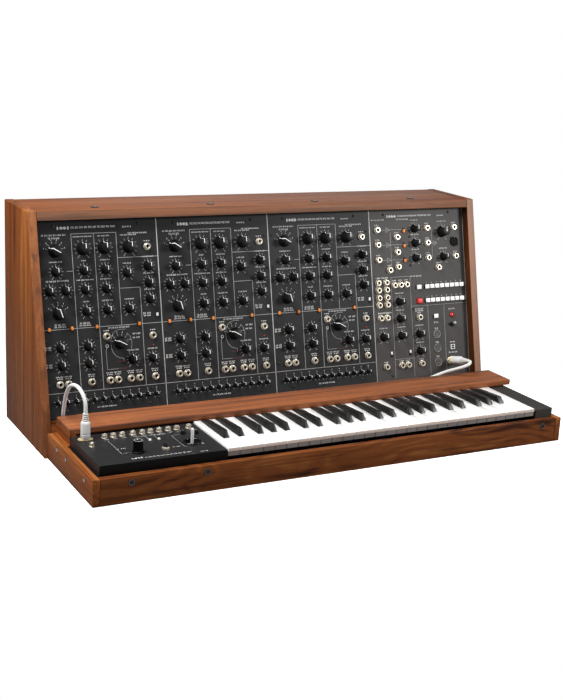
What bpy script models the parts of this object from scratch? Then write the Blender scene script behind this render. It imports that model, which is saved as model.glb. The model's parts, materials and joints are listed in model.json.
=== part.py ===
"""Analog synthesizer: a slanted cabinet of four modules, a keyboard unit before it, and the cable between.

Metres, +Z up, +X to the player's right, -Y towards the player.
The origin lies on the floor under the middle of the whole object.
"""

import math

import bmesh
import bpy
from mathutils import Matrix, Vector

# Clearances
GAP = 0.0003
UNIT_GAP = 0.0006

# Cabinet
UNIT_WIDTH = 0.994
CABINET_HEIGHT = 0.4395
CABINET_DEPTH = 0.2558
CABINET_TOP_DEPTH = 0.1506
SIDE_THICKNESS = 0.017
TOP_THICKNESS = 0.0162
TOP_SINK = 0.0008
BASE_THICKNESS = 0.012
BACK_THICKNESS = 0.006
BACK_INSET = 0.004
FRONT_RAIL_HEIGHT = 0.060
FRONT_RAIL_DEPTH = 0.033
WOOD_BEVEL = 0.0012

# Module panels, measured down the slope from the cabinet's top front edge
MODULE_COUNT = 4
PANEL_THICKNESS = 0.002
PANEL_RECESS = 0.0185

# Inside the cabinet
BOARD_THICKNESS = 0.0016
BOARD_HEIGHT = 0.300
BOARD_SETBACK = 0.030
TRANSFORMER = (0.074, 0.060, 0.062)
TRANSFORMER_X = 0.330
TRANSFORMER_SETBACK = 0.022
INLET_WIDTH = 0.028
INLET_HEIGHT = 0.020
INLET_DEPTH = 0.020
INLET_FLANGE = 0.003
INLET_FLANGE_MARGIN = 0.006
INLET_WALL = 0.002
INLET_X = -0.380
INLET_Z = 0.060

# Keyboard unit
KEYBOARD_DEPTH = 0.2472
KEYBOARD_SHIFT = 0.0055
CASE_HEIGHT = 0.0492
CASE_SIDE = 0.013
CASE_FRONT = 0.0125
CASE_BACK = 0.012
CASE_BASE = 0.008
LEDGE_FRONT = 0.1709
LEDGE_TOP = 0.0799
LEDGE_THICKNESS = 0.0093
LEDGE_INSET = 0.017
CHEEK_THICKNESS = 0.012
CONTROL_TOP = 0.0656
CONTROL_FRONT = 0.0182
SHEET = 0.0015
CONTROL_TO_KEYS = 0.0015
CONTROL_TO_SIDE = 0.0048
END_BLOCK_TO_KEYS = 0.0037
END_BLOCK_OVERHANG = 0.003
END_BLOCK_ROUND = 0.0008

# Keys
WHITE_PITCH = 0.0235
KEYS_FROM_LEFT = 0.2565
WHITE_TOP = 0.0682
WHITE_LIP = 0.0066
WHITE_FRONT = 0.0182
LEVER_SETBACK = 0.0015
LEVER_BOTTOM = 0.053
CAP_UNDER_LEDGE = 0.005
KEY_SLIT = 0.001
PIVOT_Y = 0.230
LEVER_TAIL = 0.004
SHARP_WIDTH = 0.0102
SHARP_CLEARANCE = 0.001
SHARP_TOP = 0.0794
SHARP_FRONT = 0.0702
SHARP_SLOPE = 0.011
SHARP_TO_LEDGE = 0.0013
SHARP_FOOT = 0.064
NOTCH_FRONT = 0.068
BED_THICKNESS = 0.002
BED_FRONT = 0.021
GUIDE_WIDTH = 0.008
GUIDE_TOP = 0.041
PIVOT_BAR = 0.008
WHITES_PER_OCTAVE = 7
LOW_WHITES = 14
HIGH_WHITES = 8
# Sharps by the white key on their left, with the shift of their middle from the line between the two whites
SHARPS = {0: -0.00325, 1: 0.00325, 3: -0.004, 4: 0.0, 5: 0.004}
WHITE_NAMES = ("key_c", "key_d", "key_e", "key_f", "key_g", "key_a", "key_b")
SHARP_NAMES = {0: "key_c_sharp", 1: "key_d_sharp", 3: "key_f_sharp", 4: "key_g_sharp", 5: "key_a_sharp"}

# Rotary controls: skirt radius, cap radius, height
SHAFT_RADIUS = 0.003
SHAFT_LENGTH = 0.008
SHAFT_CLEARANCE = 0.0005
SKIRT_HEIGHT = 0.003
KNOB_CHAMFER = 0.0010
SELECTOR_KNOB = (0.0108, 0.0080, 0.0195)
LARGE_KNOB = (0.0122, 0.0096, 0.0205)
TALL_KNOB = (0.0112, 0.0088, 0.0220)
# Name, distance from the module's left edge, distance down the slope, knob size
MODULE_KNOBS = (
    ("wave_selector", 0.0345, 0.0725, SELECTOR_KNOB),
    ("filter_knob", 0.0895, 0.0700, LARGE_KNOB),
    ("mode_selector", 0.1510, 0.2515, SELECTOR_KNOB),
)
OUTPUT_KNOB = ("output_knob", 0.1825, 0.0670, LARGE_KNOB)

# Push buttons on the fourth module: name, place, width, height
BUTTONS = (
    ("write_button", 0.1157, 0.1838, 0.0124, 0.0090),
    ("step_button", 0.1360, 0.1838, 0.0120, 0.0090),
    ("reset_button", 0.1160, 0.2138, 0.0120, 0.0120),
)
BUTTON_OUT = 0.005
BUTTON_IN = 0.006
BUTTON_CLEARANCE = 0.0004
BUTTON_ROUND = 0.0006
# From the panel's left edge, and up the slope from the link socket
SWITCH_PLACE = (0.1980, 0.0790)
SWITCH_BALL = 0.0032
SWITCH_LEVER = 0.0150
SWITCH_STEM = 0.0013
SWITCH_TIP = 0.0024
SWITCH_LEAN = 12.0

# Controls on the keyboard unit, from its left face and its front face
PITCH_KNOB_PLACE = (0.1030, 0.0600)
LATCH_PLACE = (0.1530, 0.0560)
LATCH_RADIUS = 0.0042
LATCH_OUT = 0.0120
LATCH_IN = 0.0060
JOYSTICK_PLACE = (0.2115, 0.0750)
WELL_SIDES = 24
WELL_RADIUS = 0.0147
WELL_WALL = 0.0015
WELL_DEPTH = 0.0150
GIMBAL_DROP = 0.0070
GIMBAL_OUTER = 0.0110
GIMBAL_INNER = 0.0075
GIMBAL_HEIGHT = 0.0050
TRUNNION_RADIUS = 0.0014
TRUNNION_SIDES = 8
STICK_RADIUS = 0.0031
STICK_HUB = 0.0048
HUB_CHAMFER = 0.0005
STICK_HEIGHT = 0.0270

# Link cable, its plugs and its sockets
CABLE_DIAMETER = 0.007
KEYBOARD_SOCKET_PLACE = (0.0390, 0.1510)
# From the fourth panel's left edge, and up the slope from its lower edge
CABINET_SOCKET_PLACE = (0.1940, 0.0370)
SOCKET_FLANGE = (0.028, 0.015, 0.0016)
SOCKET_BARREL = 0.0082
SOCKET_DEPTH = 0.0120
SOCKET_BORE = 0.0066
SOCKET_BORE_DEPTH = 0.0095
PLUG_NOSE = 0.0062
PLUG_NOSE_LENGTH = 0.0085
PLUG_BODY = 0.0087
PLUG_BODY_LENGTH = 0.0320
PLUG_CHAMFER = 0.0010
PLUG_SHOULDER = 0.0030
BOOT_START = 0.0056
BOOT_END = 0.0042
BOOT_LENGTH = 0.0160
CABLE_STEP = 0.0160
CABLE_LEAD = 0.0084
# The route between the two plugs, chosen by hand: x, y from the keyboard's front face, z
CABLE_ROUTE = (
    (-0.4556, 0.1535, 0.1360),
    (-0.4580, 0.1620, 0.1485),
    (-0.4606, 0.1765, 0.1552),
    (-0.4624, 0.1935, 0.1545),
    (-0.4634, 0.2110, 0.1475),
    (-0.4636, 0.2250, 0.1362),
    (-0.4636, 0.2370, 0.1200),
    (-0.4636, 0.2455, 0.1010),
    (-0.4634, 0.2520, 0.0820),
    (-0.4605, 0.2590, 0.0700),
    (-0.4520, 0.2660, 0.0648),
    (-0.4370, 0.2700, 0.0640),
    (-0.3600, 0.2715, 0.0640),
    (-0.2200, 0.2700, 0.0640),
    (-0.0500, 0.2710, 0.0640),
    (0.1000, 0.2700, 0.0640),
    (0.2300, 0.2712, 0.0640),
    (0.3200, 0.2705, 0.0640),
    (0.3480, 0.2680, 0.0668),
    (0.3640, 0.2620, 0.0725),
    (0.3775, 0.2530, 0.0810),
    (0.3890, 0.2420, 0.0890),
    (0.4000, 0.2300, 0.0960),
    (0.4100, 0.2210, 0.1020),
    (0.4200, 0.2170, 0.1070),
    (0.4280, 0.2210, 0.1105),
)

KNOB_SIDES = 16
HOLE_SIDES = 12

# Derived places
DEPTH = KEYBOARD_DEPTH + UNIT_GAP + CABINET_DEPTH
FRONT = -DEPTH / 2
CABINET_FRONT = FRONT + KEYBOARD_DEPTH + UNIT_GAP
BACK = DEPTH / 2
CABINET_LEFT = -KEYBOARD_SHIFT / 2 - UNIT_WIDTH / 2
CABINET_RIGHT = CABINET_LEFT + UNIT_WIDTH
INNER_LEFT = CABINET_LEFT + SIDE_THICKNESS
INNER_RIGHT = CABINET_RIGHT - SIDE_THICKNESS
MODULE_WIDTH = (INNER_RIGHT - INNER_LEFT) / MODULE_COUNT
LEAN = math.atan((CABINET_DEPTH - CABINET_TOP_DEPTH) / CABINET_HEIGHT)
CASE_LEFT = KEYBOARD_SHIFT / 2 - UNIT_WIDTH / 2
CASE_RIGHT = CASE_LEFT + UNIT_WIDTH
CASE_REAR = FRONT + KEYBOARD_DEPTH
LEDGE_BOTTOM = LEDGE_TOP - LEDGE_THICKNESS
KEYS_LEFT = CASE_LEFT + KEYS_FROM_LEFT
WHITE_COUNT = LOW_WHITES + WHITES_PER_OCTAVE + HIGH_WHITES
KEYS_RIGHT = KEYS_LEFT + WHITE_COUNT * WHITE_PITCH
CAP_BOTTOM = WHITE_TOP - WHITE_LIP
LEVER_REAR = FRONT + PIVOT_Y + LEVER_TAIL
CONTROL_LEFT = CASE_LEFT + CASE_SIDE + CONTROL_TO_SIDE
CONTROL_RIGHT = KEYS_LEFT - CONTROL_TO_KEYS
BACK_RAIL_FRONT = CASE_REAR - CASE_BACK
PANEL_TOP = (TOP_THICKNESS + TOP_SINK + GAP - PANEL_RECESS * math.sin(LEAN)) / math.cos(LEAN)
PANEL_DEPTH = PANEL_RECESS + PANEL_THICKNESS
PANEL_BOTTOM = (
    CABINET_HEIGHT - FRONT_RAIL_HEIGHT - GAP - PANEL_DEPTH * math.sin(LEAN)
) / math.cos(LEAN)
CABINET_SOCKET = (CABINET_SOCKET_PLACE[0], PANEL_BOTTOM - CABINET_SOCKET_PLACE[1])
SWITCH = (SWITCH_PLACE[0], CABINET_SOCKET[1] - SWITCH_PLACE[1])


def clear_scene():
    for old in list(bpy.data.objects):
        bpy.data.objects.remove(old, do_unlink=True)


def new_collection(name):
    made = bpy.data.collections.new(name)
    bpy.context.scene.collection.children.link(made)
    return made


clear_scene()
PARTS = new_collection("analog_synthesizer")
CUTTERS = new_collection("cutters")
CUTTERS.hide_render = True


def material(name, colour, roughness, metallic=0.0):
    made = bpy.data.materials.new(name)
    made.use_nodes = True
    shader = made.node_tree.nodes["Principled BSDF"]
    shader.inputs["Base Color"].default_value = (*colour, 1.0)
    shader.inputs["Roughness"].default_value = roughness
    shader.inputs["Metallic"].default_value = metallic
    made.diffuse_color = (*colour, 1.0)
    return made


WALNUT = material("walnut", (0.30, 0.125, 0.055), 0.45)
PLYWOOD = material("black_board", (0.05, 0.045, 0.04), 0.7)
PANEL_BLACK = material("panel_black", (0.035, 0.035, 0.037), 0.5)
KNOB_BLACK = material("knob_black", (0.015, 0.015, 0.015), 0.35)
NICKEL = material("nickel", (0.75, 0.70, 0.62), 0.25, 1.0)
STEEL = material("steel", (0.45, 0.45, 0.46), 0.4, 1.0)
CIRCUIT_GREEN = material("circuit_green", (0.03, 0.16, 0.07), 0.4)
KEY_WHITE = material("key_white", (0.85, 0.84, 0.82), 0.25)
KEY_BLACK = material("key_black", (0.02, 0.02, 0.02), 0.35)
BUTTON_WHITE = material("button_white", (0.85, 0.85, 0.85), 0.4)
BUTTON_RED = material("button_red", (0.65, 0.03, 0.02), 0.4)
CABLE_WHITE = material("cable_white", (0.80, 0.80, 0.79), 0.5)


def place(name, mesh, finish, matrix=None, collection=None):
    """An object from a mesh, in the parts or the cutters collection."""
    made = bpy.data.objects.new(name, mesh)
    (collection or PARTS).objects.link(made)
    made.matrix_world = matrix if matrix is not None else Matrix()
    if finish:
        mesh.materials.append(finish)
    if collection is CUTTERS:
        made.hide_render = True
        made.display_type = "WIRE"
    return made


def box_mesh(name, low, high):
    """A box between two corners."""
    low, high = Vector(low), Vector(high)
    work = bmesh.new()
    bmesh.ops.create_cube(work, size=1.0)
    bmesh.ops.scale(work, vec=high - low, verts=work.verts)
    bmesh.ops.translate(work, vec=(low + high) / 2, verts=work.verts)
    mesh = bpy.data.meshes.new(name)
    work.to_mesh(mesh)
    work.free()
    return mesh


def cylinder_mesh(name, radius, low, high, sides, top_radius=None):
    """A cylinder or cone along Z."""
    work = bmesh.new()
    upper = radius if top_radius is None else top_radius
    bmesh.ops.create_cone(
        work, cap_ends=True, segments=sides, radius1=radius, radius2=upper, depth=high - low
    )
    bmesh.ops.translate(work, vec=(0, 0, (low + high) / 2), verts=work.verts)
    mesh = bpy.data.meshes.new(name)
    work.to_mesh(mesh)
    work.free()
    return mesh


def outline_mesh(name, points, thickness):
    """A closed flat outline in XY, extruded evenly to both sides along Z."""
    curve = bpy.data.curves.new(name, "CURVE")
    curve.dimensions = "2D"
    curve.fill_mode = "BOTH"
    curve.extrude = thickness / 2
    spline = curve.splines.new("POLY")
    spline.points.add(len(points) - 1)
    for point, (x, y) in zip(spline.points, points):
        point.co = (x, y, 0, 1)
    spline.use_cyclic_u = True
    guide = bpy.data.objects.new(name, curve)
    PARTS.objects.link(guide)
    graph = bpy.context.evaluated_depsgraph_get()
    mesh = bpy.data.meshes.new_from_object(guide.evaluated_get(graph))
    bpy.data.objects.remove(guide)
    work = bmesh.new()
    work.from_mesh(mesh)
    bmesh.ops.remove_doubles(work, verts=work.verts, dist=1e-6)
    bmesh.ops.recalc_face_normals(work, faces=work.faces)
    work.to_mesh(mesh)
    work.free()
    return mesh


def joined_mesh(name, meshes):
    """Several separate meshes as one mesh, for a cutter."""
    work = bmesh.new()
    for mesh in meshes:
        work.from_mesh(mesh)
    made = bpy.data.meshes.new(name)
    work.to_mesh(made)
    work.free()
    return made


def moved(mesh, offset):
    mesh.transform(Matrix.Translation(offset))
    return mesh


def bevel(thing, width=WOOD_BEVEL, segments=1):
    modifier = thing.modifiers.new("bevel", "BEVEL")
    modifier.width = width
    modifier.segments = segments
    modifier.limit_method = "ANGLE"
    return thing


def boolean(thing, mesh, operation, matrix=None):
    """Cuts or joins a mesh, kept as a hidden cutter."""
    cutter = place(f"{thing.name}_{operation.lower()}", mesh, None, matrix, CUTTERS)
    modifier = thing.modifiers.new(operation.lower(), "BOOLEAN")
    modifier.operation = operation
    modifier.object = cutter
    modifier.solver = "EXACT"
    return thing


def turned(name, profile, finish, matrix, sides=KNOB_SIDES):
    """A turned piece about Z from a profile of (radius, height) that runs down its outer side."""
    mesh = bpy.data.meshes.new(name)
    points = [(radius, 0, height) for radius, height in profile]
    mesh.from_pydata(points, [(i, i + 1) for i in range(len(points) - 1)], [])
    made = place(name, mesh, finish, matrix)
    screw = made.modifiers.new("turn", "SCREW")
    screw.axis = "Z"
    screw.steps = sides
    screw.render_steps = sides
    screw.use_merge_vertices = True
    screw.merge_threshold = 1e-5
    return made


# Local X, Y, Z become world Y, Z, X: an outline in (y, z) becomes a board along X
ALONG_X = Matrix(((0, 0, 1, 0), (1, 0, 0, 0), (0, 1, 0, 0), (0, 0, 0, 1)))


def board_along_x(name, outline, left, right, finish):
    """A board whose outline in (y, z) runs from left to right."""
    middle = Matrix.Translation(((left + right) / 2, 0, 0))
    return place(name, outline_mesh(name, outline, right - left), finish, middle @ ALONG_X)


def put_origin(thing, spot):
    """Moves an object's origin along its own axes without moving its mesh in the world."""
    matrix = thing.matrix_world.copy()
    there = matrix.inverted() @ Vector((matrix.translation.x, spot[1], spot[2]))
    thing.data.transform(Matrix.Translation(-there))
    thing.matrix_world = matrix @ Matrix.Translation(there)


def slope_y(z):
    """The y of the cabinet's slanted front plane at a height."""
    return CABINET_FRONT + z * math.tan(LEAN)


def panel_frame(module, x=0.0, down=0.0, out=0.0):
    """A frame on a module panel's face: X to the right, Y up the slope, Z out of the panel."""
    corner = Vector((INNER_LEFT + module * MODULE_WIDTH, slope_y(CABINET_HEIGHT), CABINET_HEIGHT))
    turn = Matrix.Rotation(math.pi / 2 - LEAN, 4, "X")
    return Matrix.Translation(corner) @ turn @ Matrix.Translation((x, -down, out - PANEL_RECESS))


def keyboard_frame(spot, z=CONTROL_TOP):
    """A frame on the keyboard unit: spot is the distance from its left face and its front face."""
    return Matrix.Translation((CASE_LEFT + spot[0], FRONT + spot[1], z))


def cabinet_case():
    """Two side boards with a slanted front, a top board, a base board, a front rail and a back panel."""
    side = (
        (slope_y(0), 0),
        (BACK, 0),
        (BACK, CABINET_HEIGHT),
        (slope_y(CABINET_HEIGHT), CABINET_HEIGHT),
    )
    bevel(board_along_x("cabinet_side_left", side, CABINET_LEFT, INNER_LEFT, WALNUT))
    bevel(board_along_x("cabinet_side_right", side, INNER_RIGHT, CABINET_RIGHT, WALNUT))
    left, right = INNER_LEFT + GAP, INNER_RIGHT - GAP
    top = CABINET_HEIGHT - TOP_SINK
    under = top - TOP_THICKNESS
    top_board = ((slope_y(under), under), (BACK, under), (BACK, top), (slope_y(top), top))
    bevel(board_along_x("cabinet_top", top_board, left, right, WALNUT))
    rail = (
        (slope_y(0), 0),
        (slope_y(0) + FRONT_RAIL_DEPTH, 0),
        (slope_y(FRONT_RAIL_HEIGHT) + FRONT_RAIL_DEPTH, FRONT_RAIL_HEIGHT),
        (slope_y(FRONT_RAIL_HEIGHT), FRONT_RAIL_HEIGHT),
    )
    bevel(board_along_x("cabinet_front_rail", rail, left, right, WALNUT))
    back_face = BACK - BACK_INSET
    base_front = slope_y(BASE_THICKNESS) + FRONT_RAIL_DEPTH + GAP
    base = box_mesh("cabinet_base", (left, base_front, 0), (right, BACK, BASE_THICKNESS))
    place("cabinet_base", base, PLYWOOD)
    back = box_mesh(
        "cabinet_back",
        (left, back_face - BACK_THICKNESS, BASE_THICKNESS + GAP),
        (right, back_face, under - GAP),
    )
    hole = box_mesh(
        "inlet_hole",
        (-INLET_WIDTH / 2 - GAP, -2 * BACK_THICKNESS, -INLET_HEIGHT / 2 - GAP),
        (INLET_WIDTH / 2 + GAP, 2 * BACK_THICKNESS, INLET_HEIGHT / 2 + GAP),
    )
    inlet_spot = Matrix.Translation((INLET_X, back_face, INLET_Z))
    boolean(place("cabinet_back", back, PLYWOOD), hole, "DIFFERENCE", inlet_spot)


def mains_inlet():
    """A mains inlet in the back panel: a flange outside and a hollow body through the hole."""
    flange_x = INLET_WIDTH / 2 + INLET_FLANGE_MARGIN
    flange_z = INLET_HEIGHT / 2 + INLET_FLANGE_MARGIN
    spot = Matrix.Translation((INLET_X, BACK - BACK_INSET, INLET_Z))
    flange = box_mesh("mains_inlet", (-flange_x, GAP, -flange_z), (flange_x, INLET_FLANGE, flange_z))
    inlet = place("mains_inlet", flange, KNOB_BLACK, spot)
    body = box_mesh(
        "inlet_body",
        (-INLET_WIDTH / 2, -INLET_DEPTH, -INLET_HEIGHT / 2),
        (INLET_WIDTH / 2, INLET_FLANGE / 2, INLET_HEIGHT / 2),
    )
    boolean(inlet, body, "UNION", spot)
    cavity = box_mesh(
        "inlet_cavity",
        (-INLET_WIDTH / 2 + INLET_WALL, -INLET_DEPTH + INLET_WALL, -INLET_HEIGHT / 2 + INLET_WALL),
        (INLET_WIDTH / 2 - INLET_WALL, 2 * INLET_FLANGE, INLET_HEIGHT / 2 - INLET_WALL),
    )
    boolean(inlet, cavity, "DIFFERENCE", spot)


def cabinet_inside():
    """The circuit board on its edge and the power transformer, both on the base board."""
    floor = BASE_THICKNESS + GAP
    board_y = slope_y(CABINET_HEIGHT) + BOARD_SETBACK
    board = box_mesh(
        "circuit_board",
        (INNER_LEFT + SIDE_THICKNESS, board_y, floor),
        (INNER_RIGHT - SIDE_THICKNESS, board_y + BOARD_THICKNESS, floor + BOARD_HEIGHT),
    )
    place("circuit_board", board, CIRCUIT_GREEN)
    width, depth, height = TRANSFORMER
    front = board_y + BOARD_THICKNESS + TRANSFORMER_SETBACK
    core = box_mesh(
        "power_transformer",
        (TRANSFORMER_X - width / 2, front, floor),
        (TRANSFORMER_X + width / 2, front + depth, floor + height),
    )
    bevel(place("power_transformer", core, STEEL), 2 * WOOD_BEVEL)


def shaft_hole(x, down):
    radius = SHAFT_RADIUS + SHAFT_CLEARANCE
    hole = cylinder_mesh("hole", radius, -2 * PANEL_THICKNESS, PANEL_THICKNESS, HOLE_SIDES)
    return moved(hole, (x, -down, 0))


def button_hole(x, down, width, height):
    half_x = width / 2 + BUTTON_CLEARANCE
    half_y = height / 2 + BUTTON_CLEARANCE
    return box_mesh(
        "hole",
        (x - half_x, -down - half_y, -2 * PANEL_THICKNESS),
        (x + half_x, -down + half_y, PANEL_THICKNESS),
    )


def round_hole(spot, radius):
    hole = cylinder_mesh("hole", radius, -2 * PANEL_THICKNESS, PANEL_THICKNESS, KNOB_SIDES)
    return moved(hole, (spot[0], -spot[1], 0))


def knob(name, matrix, size, finish=KNOB_BLACK):
    """A skirted knob with its shaft; its origin is on the face that it stands on."""
    skirt, cap, height = size
    profile = (
        (0, height),
        (cap - KNOB_CHAMFER, height),
        (cap, height - KNOB_CHAMFER),
        (cap, SKIRT_HEIGHT + KNOB_CHAMFER),
        (skirt, SKIRT_HEIGHT),
        (skirt, GAP),
        (SHAFT_RADIUS, GAP),
        (SHAFT_RADIUS, -SHAFT_LENGTH),
        (0, -SHAFT_LENGTH),
    )
    return turned(name, profile, finish, matrix)


def module_panels():
    """Four black panels side by side, pierced for the shafts, buttons, switch and socket they carry."""
    for module in range(MODULE_COUNT):
        name = f"module_{module + 1}_panel"
        plate = box_mesh(
            name,
            (GAP, -PANEL_BOTTOM, -PANEL_THICKNESS),
            (MODULE_WIDTH - GAP, -PANEL_TOP, 0),
        )
        last = module == MODULE_COUNT - 1
        if last:
            holes = [shaft_hole(*OUTPUT_KNOB[1:3])]
            holes += [button_hole(*button[1:]) for button in BUTTONS]
            holes.append(round_hole(SWITCH, SWITCH_BALL + GAP))
            holes.append(round_hole(CABINET_SOCKET, SOCKET_BARREL + GAP))
        else:
            holes = [shaft_hole(x, down) for _, x, down, _ in MODULE_KNOBS]
        frame = panel_frame(module)
        boolean(place(name, plate, PANEL_BLACK, frame), joined_mesh(name, holes), "DIFFERENCE", frame)


def module_controls():
    """The moving knobs of modules 1 to 3, and the knob, buttons and switch of module 4."""
    for module in range(MODULE_COUNT - 1):
        for label, x, down, size in MODULE_KNOBS:
            knob(f"module_{module + 1}_{label}", panel_frame(module, x, down), size)
    last = MODULE_COUNT - 1
    label, x, down, size = OUTPUT_KNOB
    knob(label, panel_frame(last, x, down), size)
    for label, x, down, width, height in BUTTONS:
        cap = box_mesh(
            label,
            (-width / 2, -height / 2, -BUTTON_IN),
            (width / 2, height / 2, BUTTON_OUT),
        )
        finish = BUTTON_RED if label == "reset_button" else BUTTON_WHITE
        bevel(place(label, cap, finish, panel_frame(last, x, down)), BUTTON_ROUND)
    x, down = SWITCH
    ball = SWITCH_BALL
    profile = [(0, SWITCH_LEVER), (SWITCH_TIP * 0.8, SWITCH_LEVER - SWITCH_TIP / 6)]
    profile += [(SWITCH_TIP, SWITCH_LEVER - SWITCH_TIP), (SWITCH_STEM, ball)]
    profile += [
        (ball * math.sin(math.radians(angle)), ball * math.cos(math.radians(angle)))
        for angle in (35, 60, 90, 120, 150)
    ]
    profile.append((0, -ball))
    lean = Matrix.Rotation(-math.radians(SWITCH_LEAN), 4, "X")
    frame = panel_frame(last, x, down, -PANEL_THICKNESS / 2)
    turned("power_switch", profile, NICKEL, frame @ lean, HOLE_SIDES)


def keyboard_case():
    """Walnut rails round a base board, with the ledge over the keys' rear ends and its cheek."""
    rear = CASE_REAR
    for name, left in (("keyboard_side_left", CASE_LEFT), ("keyboard_side_right", CASE_RIGHT - CASE_SIDE)):
        side = box_mesh(name, (left, FRONT, 0), (left + CASE_SIDE, rear, CASE_HEIGHT))
        bevel(place(name, side, WALNUT))
    left = CASE_LEFT + CASE_SIDE + GAP
    right = CASE_RIGHT - CASE_SIDE - GAP
    front = box_mesh("keyboard_front_rail", (left, FRONT, 0), (right, FRONT + CASE_FRONT, CASE_HEIGHT))
    bevel(place("keyboard_front_rail", front, WALNUT))
    outer = CASE_LEFT + LEDGE_INSET
    inner = outer + CHEEK_THICKNESS
    back = box_mesh(
        "keyboard_back_rail",
        (inner + GAP, BACK_RAIL_FRONT, 0),
        (right, rear, LEDGE_BOTTOM - GAP),
    )
    bevel(place("keyboard_back_rail", back, WALNUT))
    base = box_mesh(
        "keyboard_base",
        (left, FRONT + CASE_FRONT + GAP, 0),
        (right, BACK_RAIL_FRONT - GAP, CASE_BASE),
    )
    place("keyboard_base", base, PLYWOOD)
    ledge = box_mesh(
        "key_ledge",
        (outer, FRONT + LEDGE_FRONT, LEDGE_BOTTOM),
        (CASE_RIGHT - GAP, rear, LEDGE_TOP),
    )
    bevel(place("key_ledge", ledge, WALNUT))
    # The cheek closes the ledge's left end from front to rear; its foot laps to the side rail
    cheek = (
        (left, CASE_BASE + GAP),
        (inner, CASE_BASE + GAP),
        (inner, LEDGE_BOTTOM - GAP),
        (outer, LEDGE_BOTTOM - GAP),
        (outer, CASE_HEIGHT),
        (left, CASE_HEIGHT),
    )
    depth = rear - (FRONT + LEDGE_FRONT)
    middle = Matrix.Translation((0, FRONT + LEDGE_FRONT + depth / 2, 0))
    upright = Matrix.Rotation(math.pi / 2, 4, "X")
    place("ledge_cheek", outline_mesh("ledge_cheek", cheek, depth), WALNUT, middle @ upright)


def control_panel():
    """A folded sheet cover, open below, with the joystick's well and the holes for its controls."""
    name = "control_panel"
    front, step, rear = FRONT + CONTROL_FRONT, FRONT + LEDGE_FRONT - GAP, BACK_RAIL_FRONT - GAP
    beside_cheek = CASE_LEFT + LEDGE_INSET + CHEEK_THICKNESS + GAP
    outline = (
        (CONTROL_LEFT, front),
        (CONTROL_RIGHT, front),
        (CONTROL_RIGHT, rear),
        (beside_cheek, rear),
        (beside_cheek, step),
        (CONTROL_LEFT, step),
    )
    height = CONTROL_TOP - CASE_BASE - GAP
    cover = moved(outline_mesh(name, outline, height), (0, 0, CONTROL_TOP - height / 2))
    work = bmesh.new()
    work.from_mesh(cover)
    lowest = [face for face in work.faces if face.normal.z < -0.5]
    bmesh.ops.delete(work, geom=lowest, context="FACES_ONLY")
    work.to_mesh(cover)
    work.free()
    panel = place(name, cover, PANEL_BLACK)
    shell = panel.modifiers.new("sheet", "SOLIDIFY")
    shell.thickness = SHEET
    shell.offset = -1
    shell.use_even_offset = True
    well = cylinder_mesh("well", WELL_RADIUS + WELL_WALL, -WELL_DEPTH - WELL_WALL, -SHEET / 2, WELL_SIDES)
    boolean(panel, well, "UNION", keyboard_frame(JOYSTICK_PLACE))
    hollow = cylinder_mesh("hollow", WELL_RADIUS, -WELL_DEPTH, SHEET, WELL_SIDES)
    boolean(panel, hollow, "DIFFERENCE", keyboard_frame(JOYSTICK_PLACE))
    holes = []
    for spot, radius in (
        (PITCH_KNOB_PLACE, SHAFT_RADIUS + SHAFT_CLEARANCE),
        (LATCH_PLACE, LATCH_RADIUS + BUTTON_CLEARANCE),
        (KEYBOARD_SOCKET_PLACE, SOCKET_BARREL + GAP),
    ):
        hole = cylinder_mesh("hole", radius, -2 * SHEET, SHEET, KNOB_SIDES)
        holes.append(moved(hole, (spot[0], spot[1], 0)))
    boolean(panel, joined_mesh("holes", holes), "DIFFERENCE", keyboard_frame((0, 0)))


def keyboard_controls():
    """The tall pitch knob, the latch button and the two-axis joystick."""
    knob("pitch_knob", keyboard_frame(PITCH_KNOB_PLACE), TALL_KNOB)
    profile = (
        (0, LATCH_OUT),
        (LATCH_RADIUS - BUTTON_ROUND, LATCH_OUT),
        (LATCH_RADIUS, LATCH_OUT - BUTTON_ROUND),
        (LATCH_RADIUS, -LATCH_IN),
        (0, -LATCH_IN),
    )
    turned("latch_button", profile, KNOB_BLACK, keyboard_frame(LATCH_PLACE), HOLE_SIDES)
    pivot = keyboard_frame(JOYSTICK_PLACE, CONTROL_TOP - GIMBAL_DROP)
    half = GIMBAL_HEIGHT / 2
    disc = cylinder_mesh("joystick_gimbal", GIMBAL_OUTER, -half, half, WELL_SIDES)
    ring = place("joystick_gimbal", disc, STEEL, pivot)
    reach = WELL_RADIUS * math.cos(math.pi / WELL_SIDES) - GAP
    along_x = Matrix.Rotation(math.pi / 2, 4, "Y")
    axle = cylinder_mesh("axle", TRUNNION_RADIUS, -reach, reach, TRUNNION_SIDES)
    boolean(ring, axle, "UNION", pivot @ along_x)
    bore = cylinder_mesh("bore", GIMBAL_INNER, -2 * half, 2 * half, WELL_SIDES)
    boolean(ring, bore, "DIFFERENCE", pivot)
    top = GIMBAL_DROP + STICK_HEIGHT
    stick_profile = (
        (0, top),
        (STICK_RADIUS * 0.8, top - STICK_RADIUS / 4),
        (STICK_RADIUS, top - STICK_RADIUS),
        (STICK_RADIUS, half + HUB_CHAMFER),
        (STICK_HUB, half - HUB_CHAMFER),
        (STICK_HUB, -half + HUB_CHAMFER),
        (0, -half),
    )
    stick = turned("joystick", stick_profile, NICKEL, pivot, HOLE_SIDES)
    pin_reach = GIMBAL_INNER * math.cos(math.pi / WELL_SIDES) - GAP
    along_y = Matrix.Rotation(math.pi / 2, 4, "X")
    pin = cylinder_mesh("pin", TRUNNION_RADIUS, -pin_reach, pin_reach, TRUNNION_SIDES)
    boolean(stick, pin, "UNION", pivot @ along_y)


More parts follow.
